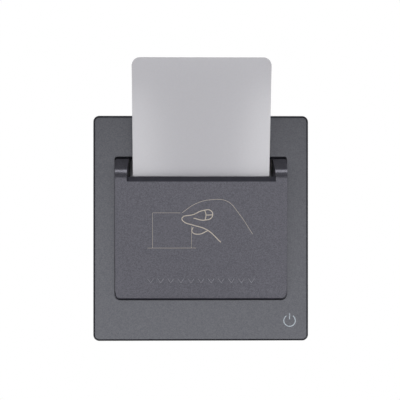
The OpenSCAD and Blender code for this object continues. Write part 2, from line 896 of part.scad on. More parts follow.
module switch_pin_row(grow, z) {
    mid = switch_left + switch_l / 2;
    for (k = [-1 : 1]) {
        x = mid + k * pin_pitch;
        span(
            [x - pin_half - grow, x + pin_half + grow],
            [switch_foot - pin_t - grow, switch_foot + grow], z
        );
    }
}

module switch_pins() {
    color("#c9b28a") on_wall() switch_pin_row(0, [-board_t - lead_rise, switch_mid_out + pin_t / 2]);
}

// Circuit board and the parts soldered to its back
module circuit_board() {
    color("#2f6b46") on_wall() difference() {
        rounded_block(board_w, [board_foot, board_top], board_corner_r, [-board_t, 0]);
        switch_pin_row(touch_gap, [-board_t - over, over]);
    }
}

// Local axes on the board's back: x across, y up, z into the wall
module on_board(x, up) {
    on_wall() translate([x, up, -board_t]) mirror([0, 0, 1]) children();
}

module chip_block(size) {
    rounded_block(size[0], [-size[1] / 2, size[1] / 2], chip_corner_r, [0, size[2]]);
}

module indicator_led() {
    color("#eef0f2") on_wall() translate([0, guide_up, 0]) chip_block(led_size);
}

module light_guide() {
    collar_r = guide_r + guide_collar;
    tip = funnel_out(guide_up) - guide_sink;
    collar = [frame_t + seat_gap, funnel_out(guide_up + collar_r) - funnel_t - touch_gap];
    color("#dfe7ea") on_wall() {
        pin(0, guide_up, collar_r, collar);
        pin(0, guide_up, guide_r, [led_size[2] + seat_gap, tip]);
    }
}

module relay() {
    color("#2a3f73") on_board(row_left + relay_size[0] / 2, row_1) chip_block(relay_size);
}

module film_capacitor() {
    x = row_left + relay_size[0] + part_gap + film_size[0] / 2;
    color("#b7a13a") on_board(x, row_1) chip_block(film_size);
}

module electrolytic_capacitor() {
    color("#33373f") on_board(row_left + electrolytic_r, row_2) {
        cylinder(r = electrolytic_r, h = electrolytic_h);
    }
}

module fuse() {
    x = row_left + 2 * electrolytic_r + part_gap + fuse_r;
    color("#5b3a2c") on_board(x, row_2) cylinder(r = fuse_r, h = fuse_h);
}

module varistor() {
    x = row_left + 2 * electrolytic_r + 2 * fuse_r + 2 * part_gap + varistor_r;
    centre = lead_rise + varistor_r;
    color("#2d55a5") on_board(x, row_2) {
        translate([0, varistor_t / 2, centre]) rotate([90, 0, 0])
            cylinder(r = varistor_r, h = varistor_t);
        for (s = [-1, 1]) pin(s * varistor_r / 2, 0, lead_r, [0, centre]);
    }
}

module bridge_rectifier() {
    color("#232327") on_board(row_left + bridge_size[0] / 2, row_3) chip_block(bridge_size);
}

module timer_chip() {
    x = row_left + bridge_size[0] + part_gap + chip_size[0] / 2;
    color("#28282c") on_board(x, row_3) chip_block(chip_size);
}

module relay_driver() {
    x = row_left + bridge_size[0] + chip_size[0] + 2 * part_gap + driver_r;
    color("#1f1f22") on_board(x, row_3) {
        translate([0, 0, lead_rise]) intersection() {
            cylinder(r = driver_r, h = driver_h);
            span([-driver_r, driver_r], [-driver_r, driver_r / 2], [-over, driver_h + over]);
        }
        for (k = [-1 : 1]) pin(k * driver_pitch, 0, lead_r, [0, lead_rise + over]);
    }
}

module power_resistor() {
    centre = lead_rise + resistor_r;
    half = resistor_l / 2;
    reach = half + lead_reach;
    color("#7fa8b8") on_board(row_left + reach + lead_r, row_4) {
        translate([-half, 0, centre]) rotate([0, 90, 0]) cylinder(r = resistor_r, h = resistor_l);
        for (s = [-1, 1]) {
            pin(s * reach, 0, lead_r, [0, centre]);
            translate([s * reach, 0, centre]) sphere(lead_r);
            translate([s < 0 ? -reach : half - join, 0, centre]) rotate([0, 90, 0])
                cylinder(r = lead_r, h = reach - half + join);
        }
    }
}

// Terminals: a block with a shaft and a wire pocket for each pole
shaft_r = 2.4;
cage_half = 2.9;
cage_wall = 0.8;
cage_d = 8.4;
cage_z = [5, 11];
cage_sink = 0.6;
terminal_mid = terminal_d - cage_sink - cage_d / 2;
terminal_screw_l = 2.6;
terminal_lift = 2.6;
terminal_head_h = 1.6;
terminal_drive_w = 0.7;

module each_terminal() {
    for (k = [0 : terminal_count - 1]) {
        translate([(k - (terminal_count - 1) / 2) * terminal_pitch, 0, 0]) children();
    }
}

module terminal_block() {
    high = terminal_back - board_t;
    color("#2f7d4f") on_board(0, terminal_foot) difference() {
        span([-terminal_w / 2, terminal_w / 2], [0, terminal_d], [0, high]);
        each_terminal() {
            pin(0, terminal_mid, shaft_r, [cage_z[1] - join, high + over]);
            span(
                [-cage_half - touch_gap, cage_half + touch_gap],
                [terminal_d - cage_d - touch_gap, terminal_d + over],
                [cage_z[0] - touch_gap, cage_z[1] + touch_gap]
            );
        }
    }
}

module terminal_clamps() {
    color("#c2a060") on_board(0, terminal_foot) each_terminal() difference() {
        span([-cage_half, cage_half], [terminal_d - cage_d, terminal_d - cage_sink], cage_z);
        span(
            [-cage_half + cage_wall, cage_half - cage_wall],
            [terminal_d - cage_d - over, terminal_d + over],
            [cage_z[0] + cage_wall, cage_z[1] - cage_wall]
        );
        pin(0, terminal_mid, screw_r + hole_gap, [cage_z[1] - cage_wall - over, cage_z[1] + over]);
    }
}

module terminal_screws() {
    head = cage_z[1] + terminal_lift;
    top = head + terminal_head_h;
    color("#bfc1c5") on_board(0, terminal_foot) each_terminal() difference() {
        union() {
            pin(0, terminal_mid, screw_r, [cage_z[1] - terminal_screw_l, head + join]);
            pin(0, terminal_mid, shaft_r - seat_gap, [head, top]);
        }
        translate([0, terminal_mid, top])
            cube([2 * shaft_r, terminal_drive_w, terminal_head_h], center = true);
    }
}

// Rear housing: a box behind the wall plane with lugs, vents and a terminal window
vent_count = 5;
vent_pitch = 4;
vent_w = 1.6;
vent_drop = 16;
vent_z = [5, 6];
rib_t = 1.2;
rib_w = 3;
rib_up = [-24, 8];

module housing_lugs() {
    for (up = lug_up) {
        span(
            [housing_w / 2 - join, housing_w / 2 + lug_l], [up - lug_w / 2, up + lug_w / 2], [-lug_t, 0]
        );
    }
}

module housing_vents() {
    for (k = [0 : vent_count - 1]) {
        up = board_mid - vent_drop + k * vent_pitch;
        span(
            [housing_in_w / 2 - over, housing_w / 2 + over], [up, up + vent_w],
            [-housing_depth + vent_z[0], -vent_z[1]]
        );
    }
}

module board_ribs() {
    half = housing_in_w / 2;
    for (place = rib_up) {
        up = board_mid + place;
        span(
            [half - rib_t, half + join], [up, up + rib_w], [-housing_depth + housing_wall / 2, -board_t]
        );
    }
}

module rear_housing() {
    foot_in = housing_foot + housing_wall;
    top_in = housing_top - housing_wall;
    window_half = terminal_w / 2 + slide_gap;
    color("#e4e2dc") on_wall() difference() {
        union() {
            difference() {
                rounded_block(
                    housing_w, [housing_foot, housing_top], housing_corner_r, [-housing_depth, 0]
                );
                rounded_block(
                    housing_in_w, [foot_in, top_in], board_corner_r, [-housing_depth + housing_wall, over]
                );
                both_sides() housing_vents();
            }
            both_sides() {
                housing_lugs();
                board_ribs();
            }
        }
        both_sides() for (up = lug_up) pin(lug_x, up, screw_hole_r, [-lug_t - over, over]);
        span(
            [-window_half, window_half], [terminal_foot - slide_gap, terminal_top + slide_gap],
            [-housing_depth - over, -housing_depth + housing_wall + over]
        );
        span(
            [-window_half, window_half], [top_in - over, housing_top + over],
            [-board_t - cage_z[1], -board_t - cage_z[0]]
        );
    }
}

module housing_screws() {
    color("#b8b9bc") on_wall() both_sides() {
        for (up = lug_up) {
            screw_out(lug_x, up, -lug_t - screw_head_h, boss_out - 2 * boss_cap);
        }
    }
}

front_plate();
pocket_cover();
key_card();
mounting_frame();
card_cradle();
cradle_screws();
grip_springs();
card_follower();
return_spring();
switch_case();
switch_lever();
lever_pin();
switch_plunger();
switch_pins();
circuit_board();
indicator_led();
light_guide();
rear_housing();
housing_screws();
terminal_block();
terminal_screws();
terminal_clamps();
relay();
film_capacitor();
electrolytic_capacitor();
varistor();
fuse();
bridge_rectifier();
timer_chip();
power_resistor();
relay_driver();
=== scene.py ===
# %% [markdown]
# A key card switch sits by the door of a hotel room. A card pushed into its pocket presses a small
# switch, and the room gets its power. This lesson dresses the measured construction of one: the frame
# that is loaded first fixes every place and size, and each step below adds edges, finish and print.

# %% Load the construction
import json
from math import atan, cos, degrees, pi, radians, sin

import bmesh
import bpy
from mathutils import Matrix, Vector


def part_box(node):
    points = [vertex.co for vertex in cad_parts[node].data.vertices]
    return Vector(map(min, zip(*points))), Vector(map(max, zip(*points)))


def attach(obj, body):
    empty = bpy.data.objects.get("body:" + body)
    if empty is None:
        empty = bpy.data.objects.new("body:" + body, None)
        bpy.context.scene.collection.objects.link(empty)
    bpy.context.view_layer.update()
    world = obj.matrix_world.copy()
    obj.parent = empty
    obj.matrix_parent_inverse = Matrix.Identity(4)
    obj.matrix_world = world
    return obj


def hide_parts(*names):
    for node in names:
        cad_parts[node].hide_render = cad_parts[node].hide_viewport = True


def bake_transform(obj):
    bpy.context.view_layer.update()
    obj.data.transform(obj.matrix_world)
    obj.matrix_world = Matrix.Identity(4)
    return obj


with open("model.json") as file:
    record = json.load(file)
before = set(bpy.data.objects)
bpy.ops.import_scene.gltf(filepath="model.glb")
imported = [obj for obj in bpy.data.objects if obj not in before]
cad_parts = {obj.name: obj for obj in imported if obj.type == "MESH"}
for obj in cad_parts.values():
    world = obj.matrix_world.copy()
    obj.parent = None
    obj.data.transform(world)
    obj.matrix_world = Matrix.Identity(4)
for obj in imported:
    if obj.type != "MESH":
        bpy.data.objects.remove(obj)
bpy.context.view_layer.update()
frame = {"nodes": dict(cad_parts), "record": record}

MM = 0.001

# %% [markdown]
# The camera comes first, because every later choice is judged through it. It stands level with the
# pocket's mouth, a little to the left, and looks straight at the wall. The lens could be guessed, but the
# card tells it: its top leans 30 mm nearer to the lens than its foot and looks that much wider.

# %% Camera
PHOTO_PX = 400
FOCAL_PX = 1141.0
SENSOR_MM = 36.0
LENS_TO_PLATE = 456 * MM
CAMERA_TURN = radians(1.09)
AIM_ACROSS, AIM_UP = -0.36 * MM, 11.33 * MM
NEAREST_SEEN = 10 * MM
plate_low, plate_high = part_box("front_plate")
aim = Vector((AIM_ACROSS, plate_low.y, AIM_UP))
look = Vector((sin(CAMERA_TURN), cos(CAMERA_TURN), 0))

camera = bpy.data.objects.new("camera", bpy.data.cameras.new("camera"))
camera.data.sensor_width = SENSOR_MM
camera.data.lens = FOCAL_PX * SENSOR_MM / PHOTO_PX
camera.data.clip_start = NEAREST_SEEN
camera.location = aim - look * LENS_TO_PLATE
camera.rotation_euler = (pi / 2, 0, -CAMERA_TURN)
bpy.context.scene.collection.objects.link(camera)
bpy.context.scene.camera = camera
bpy.context.scene.view_settings.view_transform = "Standard"
print("lens in mm:", round(camera.data.lens, 1), "camera in mm:", [round(v / MM, 1) for v in camera.location])

# %% [markdown]
# Materials are networks of small nodes. One helper adds a node, sets its options and its socket values and
# links other nodes to it, so that each material below reads as a recipe. Colours are written as a painter's
# hex values, and one function turns them into the linear light that the renderer counts in.

# %% Helpers for colours and nodes
def linear(hex_colour):
    """A colour such as #c8c0b4 as linear red, green, blue and full opacity."""
    parts = [int(hex_colour[k:k + 2], 16) / 255 for k in (1, 3, 5)]
    return [c / 12.92 if c <= 0.04045 else ((c + 0.055) / 1.055) ** 2.4 for c in parts] + [1.0]


def add(tree, kind, values=None, links=None, **options):
    """Adds one node to a tree, sets its options and socket values, and links outputs to its sockets."""
    made = tree.nodes.new(kind)
    for name, option in options.items():
        setattr(made, name, option)
    for socket, value in (values or {}).items():
        made.inputs[socket].default_value = value
    for socket, output in (links or {}).items():
        tree.links.new(output, made.inputs[socket])
    return made


# A Mix node numbers its sockets, and these are the ones that it uses for colours and for plain values.
COLOUR_A, COLOUR_B, COLOUR_OUT = 6, 7, 2
VALUE_A, VALUE_B, VALUE_OUT = 2, 3, 0


def new_material(name):
    """An empty material: its node tree, its output node and the object coordinates that patterns read."""
    material = bpy.data.materials.new(name)
    material.use_nodes = True
    tree = material.node_tree
    tree.nodes.clear()
    output = add(tree, "ShaderNodeOutputMaterial")
    place = add(tree, "ShaderNodeTexCoord").outputs["Object"]
    return material, tree, output, place


print("cream #c8c0b4 in linear light:", [round(c, 3) for c in linear("#c8c0b4")])

# %% [markdown]
# The stage is a photographer's table. A pale floor lies well below, because a wall switch stands on nothing.
# The white behind it is the world itself, as rays from the camera and from gloss see it. For all other rays
# the world is a soft, weaker fill, so that the white costs the paint none of its depth. The floor takes the
# shadow, and a glow that only the camera sees keeps it pale. Further out the camera sees it run into the
# white, as a paper sweep does, so that no edge shows.

# %% World and floor
FILL_LEVEL = 0.29
FLOOR_DROP = 300 * MM
FLOOR_SIZE = 1300 * MM
FLOOR_SHIFT = 150 * MM
FLOOR_TONE = "#eeeeec"
FLOOR_LIFT = 0.4
SWEEP_START, SWEEP_END = 260 * MM, 640 * MM

world = bpy.data.worlds.new("white_studio")
bpy.context.scene.world = world
world.use_nodes = True
world.node_tree.nodes.clear()
path = add(world.node_tree, "ShaderNodeLightPath")
seen = add(world.node_tree, "ShaderNodeMath", operation="MAXIMUM", links={
    0: path.outputs["Is Camera Ray"], 1: path.outputs["Is Glossy Ray"]})
seen = add(world.node_tree, "ShaderNodeMath", operation="MAXIMUM", links={
    0: seen.outputs[0], 1: path.outputs["Is Transmission Ray"]})
level = add(world.node_tree, "ShaderNodeMapRange", values={"To Min": FILL_LEVEL, "To Max": 1.0},
            links={"Value": seen.outputs[0]})
sky = add(world.node_tree, "ShaderNodeBackground", links={"Strength": level.outputs["Result"]})
sky.inputs["Color"].default_value = (1, 1, 1, 1)
add(world.node_tree, "ShaderNodeOutputWorld", links={"Surface": sky.outputs[0]})


def new_object(name, bm, materials):
    """Turns a bmesh into an object at the origin, with its place in its mesh."""
    mesh = bpy.data.meshes.new(name)
    bm.to_mesh(mesh)
    bm.free()
    for material in materials:
        mesh.materials.append(material)
    made = bpy.data.objects.new(name, mesh)
    bpy.context.scene.collection.objects.link(made)
    return made


# Matt painted board: it takes the shadow and gives back an even pale tone with a trace of roller texture.
floor_paint, tree, output, place = new_material("matt_painted_board")
ROLLER_MM = 3.0
roller = add(tree, "ShaderNodeTexNoise", {"Scale": 1 / (ROLLER_MM * MM), "Detail": 3.0}, {"Vector": place})
relief = add(tree, "ShaderNodeBump", {"Strength": 0.1, "Distance": 0.1 * MM},
             {"Height": roller.outputs["Fac"]})
board = add(tree, "ShaderNodeBsdfPrincipled", {"Base Color": linear(FLOOR_TONE), "Roughness": 0.9},
            {"Normal": relief.outputs["Normal"]})
for_camera = add(tree, "ShaderNodeLightPath").outputs["Is Camera Ray"]
lift = add(tree, "ShaderNodeMapRange", {"To Max": FLOOR_LIFT}, {"Value": for_camera})
pale = add(tree, "ShaderNodeEmission", {"Color": linear(FLOOR_TONE)}, {"Strength": lift.outputs["Result"]})
lifted = add(tree, "ShaderNodeAddShader", links={0: board.outputs[0], 1: pale.outputs[0]})
spread = add(tree, "ShaderNodeMapping", {"Location": (0, -FLOOR_SHIFT, 0), "Scale": (1, 1, 0)},
             {"Vector": place})
reach = add(tree, "ShaderNodeVectorMath", links={0: spread.outputs[0]}, operation="LENGTH")
sweep = add(tree, "ShaderNodeMapRange", {"From Min": SWEEP_START, "From Max": SWEEP_END},
            {"Value": reach.outputs["Value"]}, interpolation_type="SMOOTHSTEP")
run_out = add(tree, "ShaderNodeMath", links={0: sweep.outputs["Result"], 1: for_camera}, operation="MULTIPLY")
paper = add(tree, "ShaderNodeEmission", {"Color": linear("#ffffff")})
swept = add(tree, "ShaderNodeMixShader", links={
    0: run_out.outputs[0], 1: lifted.outputs[0], 2: paper.outputs[0]})
tree.links.new(swept.outputs[0], output.inputs["Surface"])

bm = bmesh.new()
bmesh.ops.create_grid(bm, x_segments=1, y_segments=1, size=FLOOR_SIZE / 2)
bmesh.ops.translate(bm, verts=bm.verts, vec=(0, FLOOR_SHIFT, -FLOOR_DROP))
floor = new_object("floor", bm, [floor_paint])
print("floor at", round(-FLOOR_DROP / MM), "mm")

# %% [markdown]
# Satin paint is a blurred mirror, so half of its look is the room that it mirrors. In the photograph the
# room is dim at the sides and overhead: edges that turn away from the lens go dark, and that draws the
# outline. Grey walls that only gloss can see give that room. They grow paler in front and below, so that the
# paint looks grey from other sides too, and a pale wall behind serves the metal at the back. They light
# nothing and throw no shadow.

# %% Grey walls for the gloss
WALL_GREY, FRONT_GREY, BACK_GREY = "#3e3e43", "#aaaaae", "#b6b6ba"
# Where a spot on the wall lies, as the y and z of its direction from the switch, which is one long.
FAR_ASIDE, IN_FRONT = -0.5, -0.8
OVERHEAD, LEVEL_WITH = 0.15, 0.0
ROOM_HALF = 520 * MM
ROOM_FRONT = 900 * MM
ROOM_BACK = 600 * MM
ROOM_LIFT = 230 * MM
UNEVEN = 0.05


def glowing(name, colour, front_colour):
    """A wall for gloss to see: it shines in one colour, and in another in front, but not overhead."""
    material, tree, output, place = new_material(name)
    patch = add(tree, "ShaderNodeTexNoise", {"Scale": 1 / (ROLLER_MM * MM)}, {"Vector": place})
    shine = add(tree, "ShaderNodeMapRange", {"To Min": 1 - UNEVEN, "To Max": 1 + UNEVEN},
                {"Value": patch.outputs["Fac"]})
    way = add(tree, "ShaderNodeVectorMath", links={0: place}, operation="NORMALIZE")
    spot = add(tree, "ShaderNodeSeparateXYZ", links={"Vector": way.outputs[0]})
    ahead = add(tree, "ShaderNodeMapRange", {"From Min": FAR_ASIDE, "From Max": IN_FRONT},
                {"Value": spot.outputs["Y"]})
    below = add(tree, "ShaderNodeMapRange", {"From Min": OVERHEAD, "From Max": LEVEL_WITH},
                {"Value": spot.outputs["Z"]})
    share = add(tree, "ShaderNodeMath", links={0: ahead.outputs[0], 1: below.outputs[0]},
                operation="MULTIPLY")
    mixed = add(tree, "ShaderNodeMix", {COLOUR_A: linear(colour), COLOUR_B: linear(front_colour)},
                {0: share.outputs[0]}, data_type="RGBA")
    glow = add(tree, "ShaderNodeEmission", links={"Color": mixed.outputs[COLOUR_OUT],
                                                  "Strength": shine.outputs["Result"]})
    tree.links.new(glow.outputs[0], output.inputs["Surface"])
    return material


bm = bmesh.new()
bmesh.ops.create_cube(bm, size=1)
max(bm.faces, key=lambda face: face.calc_center_median().y).material_index = 1
bmesh.ops.scale(bm, verts=bm.verts, vec=(2 * ROOM_HALF, ROOM_FRONT + ROOM_BACK, 2 * ROOM_HALF))
bmesh.ops.translate(bm, verts=bm.verts, vec=(0, (ROOM_BACK - ROOM_FRONT) / 2, ROOM_LIFT))
walls = new_object("grey_walls", bm, [
    glowing("grey_room_walls", WALL_GREY, FRONT_GREY), glowing("pale_back_wall", BACK_GREY, BACK_GREY)])
walls.visible_camera = False
walls.visible_diffuse = False
walls.visible_transmission = False
walls.visible_shadow = False
print("grey walls stand", round(ROOM_HALF / MM), "mm to each side")

# %% [markdown]
# Eight soft lamps light the switch. The paint mirrors a broad panel behind the lens. The card leans, so it
# mirrors two strips low in front, which brighten its lower sides. A strip overhead lights the rolled ears.
# Lamps on the right, on the left, underneath and behind only shape the light and stay hidden from gloss, or
# edges and sides would get bright streaks. Three more stand a little behind the plate's face and reach only
# its sides, so that the paint looks as grey from there. A lamp's level is the share of full light that it
# gives a surface facing it. On the plate's face, with the fill, they add up to about one.

# %% Lamps
def soft_lamp(name, spot, target, size, level, glossy=True):
    """A rectangular lamp at spot, turned to target, whose level is a share of full light there."""
    spot, target = Vector(spot) * MM, Vector(target) * MM
    lamp = bpy.data.objects.new(name, bpy.data.lights.new(name, "AREA"))
    lamp.data.shape = "RECTANGLE"
    lamp.data.size, lamp.data.size_y = size[0] * MM, size[1] * MM
    # Full light is pi watts to the square metre. Straight ahead a lamp gives watts / (pi * distance ** 2).
    lamp.data.energy = level * (pi * (target - spot).length) ** 2
    lamp.location = spot
    lamp.rotation_euler = (target - spot).to_track_quat("-Z", "Y").to_euler()
    lamp.visible_camera = False
    lamp.visible_glossy = glossy
    bpy.context.scene.collection.objects.link(lamp)
    return lamp


lamps = [
    soft_lamp("lamp_front", (-10, -710, -40), (0, -10, 0), (520, 350), 0.11),
    soft_lamp("lamp_right", (330, -330, 20), (0, -10, 10), (180, 320), 0.24, glossy=False),
    soft_lamp("lamp_left", (-300, -350, 0), (0, -10, 10), (180, 320), 0.1, glossy=False),
    soft_lamp("lamp_low_right", (190, -460, -210), (0, -20, 40), (300, 80), 0.054),
    soft_lamp("lamp_low_left", (-170, -460, -210), (0, -20, 40), (300, 80), 0.048),
    soft_lamp("lamp_under", (0, -170, -270), (0, -15, 30), (480, 150), 0.33, glossy=False),
    soft_lamp("lamp_over", (0, -158, 430), (0, -12, 20), (420, 180), 0.45),
    soft_lamp("lamp_behind", (60, 520, 80), (0, 10, 0), (320, 260), 0.52, glossy=False),
    soft_lamp("lamp_beside_right", (430, 60, 20), (0, -5, 20), (120, 320), 0.8, glossy=False),
    soft_lamp("lamp_beside_left", (-430, 60, 20), (0, -5, 20), (120, 320), 0.8, glossy=False),
    soft_lamp("lamp_above", (0, 70, 460), (0, -5, 20), (320, 120), 0.8, glossy=False),
]
print("lamps in watts:", {lamp.name: round(lamp.data.energy, 2) for lamp in lamps})

# %% [markdown]
# The plate and the pocket cover are moulded in ABS and sprayed with a grey paint that holds aluminium
# flakes. A flat grey would look dead. The flakes make a fine speckle, the spray leaves soft clouds, and the
# clear binder gives a satin sheen. Cell noise gives the flakes, smooth noise the clouds. Real flakes are
# about 0.05 mm across, too fine to show here, so they are drawn several times as coarse. Rounded edges get
# painted shade: their colour is darkened towards a near-black plastic, for the dark line that edges draw
# where they turn away from the light. A face that looks half forwards and half sideways lies on a rounded
# edge, so the direction that it faces tells where that painted shade goes.

# %% Satin metallic paint
FLAKE_MM = 0.3
CLOUD_MM = 1.2
FLAKE_SHARE = 0.9
# A near-black plastic colour for painted shade: on the plate's rounded edges and on the pocket's mouth slope,
# underside and hidden faces.
SHADE_DARK_PLASTIC = "#1d1d26"
# The painted edge shade is the share that a face looks forwards, to this power, times the share that it
# doesn't. It is greatest where the first share has the second value.
EDGE_POWER, MOST_SHADED = 9.0, 0.9


def satin_paint(name, dark, light, edge_shade):
    """Sprayed paint with metal flakes on ABS: speckled grey with a soft sheen, half tinted as by metal.
    Its last argument darkens rounded edges towards a near-black plastic, as painted shade.
    """
    material, tree, output, place = new_material(name)
    flake = add(tree, "ShaderNodeTexVoronoi", {"Scale": 1 / (FLAKE_MM * MM)}, {"Vector": place})
    cloud = add(tree, "ShaderNodeTexNoise", {"Scale": 1 / (CLOUD_MM * MM), "Detail": 3.0}, {"Vector": place})
    spark = add(tree, "ShaderNodeSeparateColor", links={"Color": flake.outputs["Color"]})
    tone = add(tree, "ShaderNodeMix", {0: FLAKE_SHARE},
               {VALUE_A: cloud.outputs["Fac"], VALUE_B: spark.outputs["Red"]})
    colour = add(tree, "ShaderNodeMix", {COLOUR_A: linear(dark), COLOUR_B: linear(light)},
                 {0: tone.outputs[VALUE_OUT]}, data_type="RGBA")
    normal = add(tree, "ShaderNodeTexCoord").outputs["Normal"]
    facing = add(tree, "ShaderNodeSeparateXYZ", links={"Vector": normal})
    ahead = add(tree, "ShaderNodeMath", links={0: facing.outputs["Y"]}, operation="ABSOLUTE")
    aside = add(tree, "ShaderNodeMath", {0: 1.0}, {1: ahead.outputs[0]}, operation="SUBTRACT")
    near = add(tree, "ShaderNodeMath", {1: EDGE_POWER}, {0: ahead.outputs[0]}, operation="POWER")
    turned = add(tree, "ShaderNodeMath", links={0: near.outputs[0], 1: aside.outputs[0]},
                 operation="MULTIPLY")
    most_turned = MOST_SHADED ** EDGE_POWER * (1 - MOST_SHADED)
    edge_shade_share = add(tree, "ShaderNodeMapRange", {"From Max": most_turned, "To Max": edge_shade},
               {"Value": turned.outputs[0]})
    coat = add(tree, "ShaderNodeMix", {COLOUR_B: linear(SHADE_DARK_PLASTIC)},
               {0: edge_shade_share.outputs["Result"], COLOUR_A: colour.outputs[COLOUR_OUT]}, data_type="RGBA")
    relief = add(tree, "ShaderNodeBump", {"Strength": 0.12, "Distance": 0.02 * MM},
                 {"Height": spark.outputs["Green"]})
    paint = add(tree, "ShaderNodeBsdfPrincipled", {"Metallic": 0.55, "Roughness": 0.29},
                {"Base Color": coat.outputs[COLOUR_OUT], "Normal": relief.outputs["Normal"]})
    tree.links.new(paint.outputs[0], output.inputs["Surface"])
    return material


# The plate's rounded edges are darkened towards a near-black plastic, as painted shade; the pocket's are not.
plate_paint = satin_paint("satin_metallic_paint_on_abs", "#606167", "#717277", edge_shade=0.9)
# The pocket gets a darker copy of the paint, a little violet; the darkening is painted shade.
darkened_pocket_paint = satin_paint("satin_metallic_paint_on_pocket_with_painted_shade", "#4e4e55", "#64636b", edge_shade=0.0)
print("flakes drawn at", FLAKE_MM, "mm, clouds at", CLOUD_MM, "mm")

# %% [markdown]
# The front plate is a shallow moulded tray: a flat face with an opening for the pocket, and a rim that runs
# back to the wall. It could be a box with a hole cut in it, but cuts leave ragged edges that won't round
# well. Here six rounded rings are drawn and bridged in turn, from the opening's back to its front, out to
# the rim, back to the wall and inside again. Two rings in one plane don't tell the operator which way to go
# round, so the rings stand apart while they are bridged and are then pushed to their depths.

# %% Rings and blocks
CORNER_STEPS, EDGE_STEPS = 8, 2


def rounded_ring(bm, width, height, low_r, high_r, out):
    """A standing rounded rectangle about the plate's middle, out in front of the wall, as edges."""
    others = set(bm.faces)
    corners = bmesh.ops.create_grid(bm, x_segments=1, y_segments=1, size=0.5)["verts"]
    stand = Matrix.Translation((0, -out * MM, 0)) @ Matrix.Rotation(pi / 2, 4, "X")
    bmesh.ops.transform(bm, matrix=stand @ Matrix.Diagonal((width * MM, height * MM, 1, 1)), verts=corners)
    lower = [v for v in corners if v.co.z < 0]
    upper = [v for v in corners if v.co.z > 0]
    for ends, radius in ((lower, low_r), (upper, high_r)):
        bmesh.ops.bevel(bm, geom=ends, offset=radius * MM, offset_type="OFFSET", affect="VERTICES",
                        segments=CORNER_STEPS, profile=0.5, material=-1)
    face = next(f for f in bm.faces if f not in others)
    edges = list(face.edges)
    bmesh.ops.delete(bm, geom=[face], context="FACES_ONLY")
    return edges


def round_edges(bm, edges, radius, steps):
    """Rounds edges with a circular bevel of the given radius in millimetres."""
    bmesh.ops.bevel(bm, geom=edges, offset=radius * MM, offset_type="OFFSET", affect="EDGES",
                    segments=steps, profile=0.5, material=-1, clamp_overlap=True)


def block(bm, across, up, out, radius):
    """A block with rounded edges between two values across the wall, up it and out of it."""
    spans = (across, (-out[1], -out[0]), up)
    made = bmesh.ops.create_cube(bm, size=MM)["verts"]
    bmesh.ops.scale(bm, verts=made, vec=[high - low for low, high in spans])
    bmesh.ops.translate(bm, verts=made, vec=[(low + high) / 2 * MM for low, high in spans])
    round_edges(bm, list({edge for v in made for edge in v.link_edges}), radius, EDGE_STEPS)


def smooth_sides(made, sharp_degrees=38):
    """Shades a piece smooth, keeps true corners sharp and lets the large faces set the normals."""
    made.data.shade_smooth()
    made.data.set_sharp_from_angle(angle=radians(sharp_degrees))
    weighted = made.modifiers.new("flat_faces_lead", "WEIGHTED_NORMAL")
    weighted.keep_sharp = True
    return made


print("corners are drawn with", CORNER_STEPS, "steps")

# %% Front plate
PLATE_WALL = 2.0
PLATE_CORNER_R = 2.4
PLATE_EDGE_R, OPENING_EDGE_R, BACK_EDGE_R = 0.9, 0.15, 0.3
OPENING_W, OPENING_H = 68.7, 57.2
OPENING_LOW_R, OPENING_HIGH_R = 2.3, 0.9
APART = 40.0
plate_w = (plate_high.x - plate_low.x) / MM
plate_h = (plate_high.z - plate_low.z) / MM
plate_out = -plate_low.y / MM
plate_back = plate_out - PLATE_WALL

opening = (OPENING_W, OPENING_H, OPENING_LOW_R, OPENING_HIGH_R)
outside = (plate_w, plate_h, PLATE_CORNER_R, PLATE_CORNER_R)
inside = (plate_w - 2 * PLATE_WALL, plate_h - 2 * PLATE_WALL, PLATE_CORNER_R / 2, PLATE_CORNER_R / 2)
outlines = (opening, opening, outside, outside, inside, inside)
depths = (plate_back, plate_out, plate_out, 0, 0, plate_back)

bm = bmesh.new()
rings = [rounded_ring(bm, *outline, APART * k) for k, outline in enumerate(outlines)]
for ring, following in zip(rings, rings[1:] + rings[:1]):
    bmesh.ops.bridge_loops(bm, edges=ring + following)
for k, (ring, depth) in enumerate(zip(rings, depths)):
    points = list({v for edge in ring for v in edge.verts})
    bmesh.ops.translate(bm, verts=points, vec=(0, (APART * k - depth) * MM, 0))
bmesh.ops.recalc_face_normals(bm, faces=bm.faces)
# The face's outer edge, the opening's edge, and the rim's two edges at the wall.
for ring, radius, steps in ((2, PLATE_EDGE_R, 6), (1, OPENING_EDGE_R, 3),
                            (3, BACK_EDGE_R, EDGE_STEPS), (4, BACK_EDGE_R, EDGE_STEPS)):
    round_edges(bm, rings[ring], radius, steps)
print("plate shell:", len(bm.faces), "faces")

# %% [markdown]
# Behind its face the plate has four hooks that hold the pocket's flange and four ledges that the frame's
# latches snap under. They are plain moulded blocks, so a scaled cube with rounded edges is enough.

# %% Hooks and ledges behind the plate
HOOK_X, HOOK_LIP_X = (36.95, 38.45), (36.05, 37.0)
HOOK_UP, HOOK_HALF = 14.0, 3.0
HOOK_OUT, HOOK_LIP_OUT = (5.4, 8.55), (5.4, 6.7)
LEDGE_X, LEDGE_UP, LEDGE_OUT = (20.0, 30.0), (39.2, 43.05), (3.5, 4.9)
TINY_R = 0.15


def flip(span, side):
    """A span on the right or upper side, or its mirror image."""
    return span if side > 0 else (-span[1], -span[0])


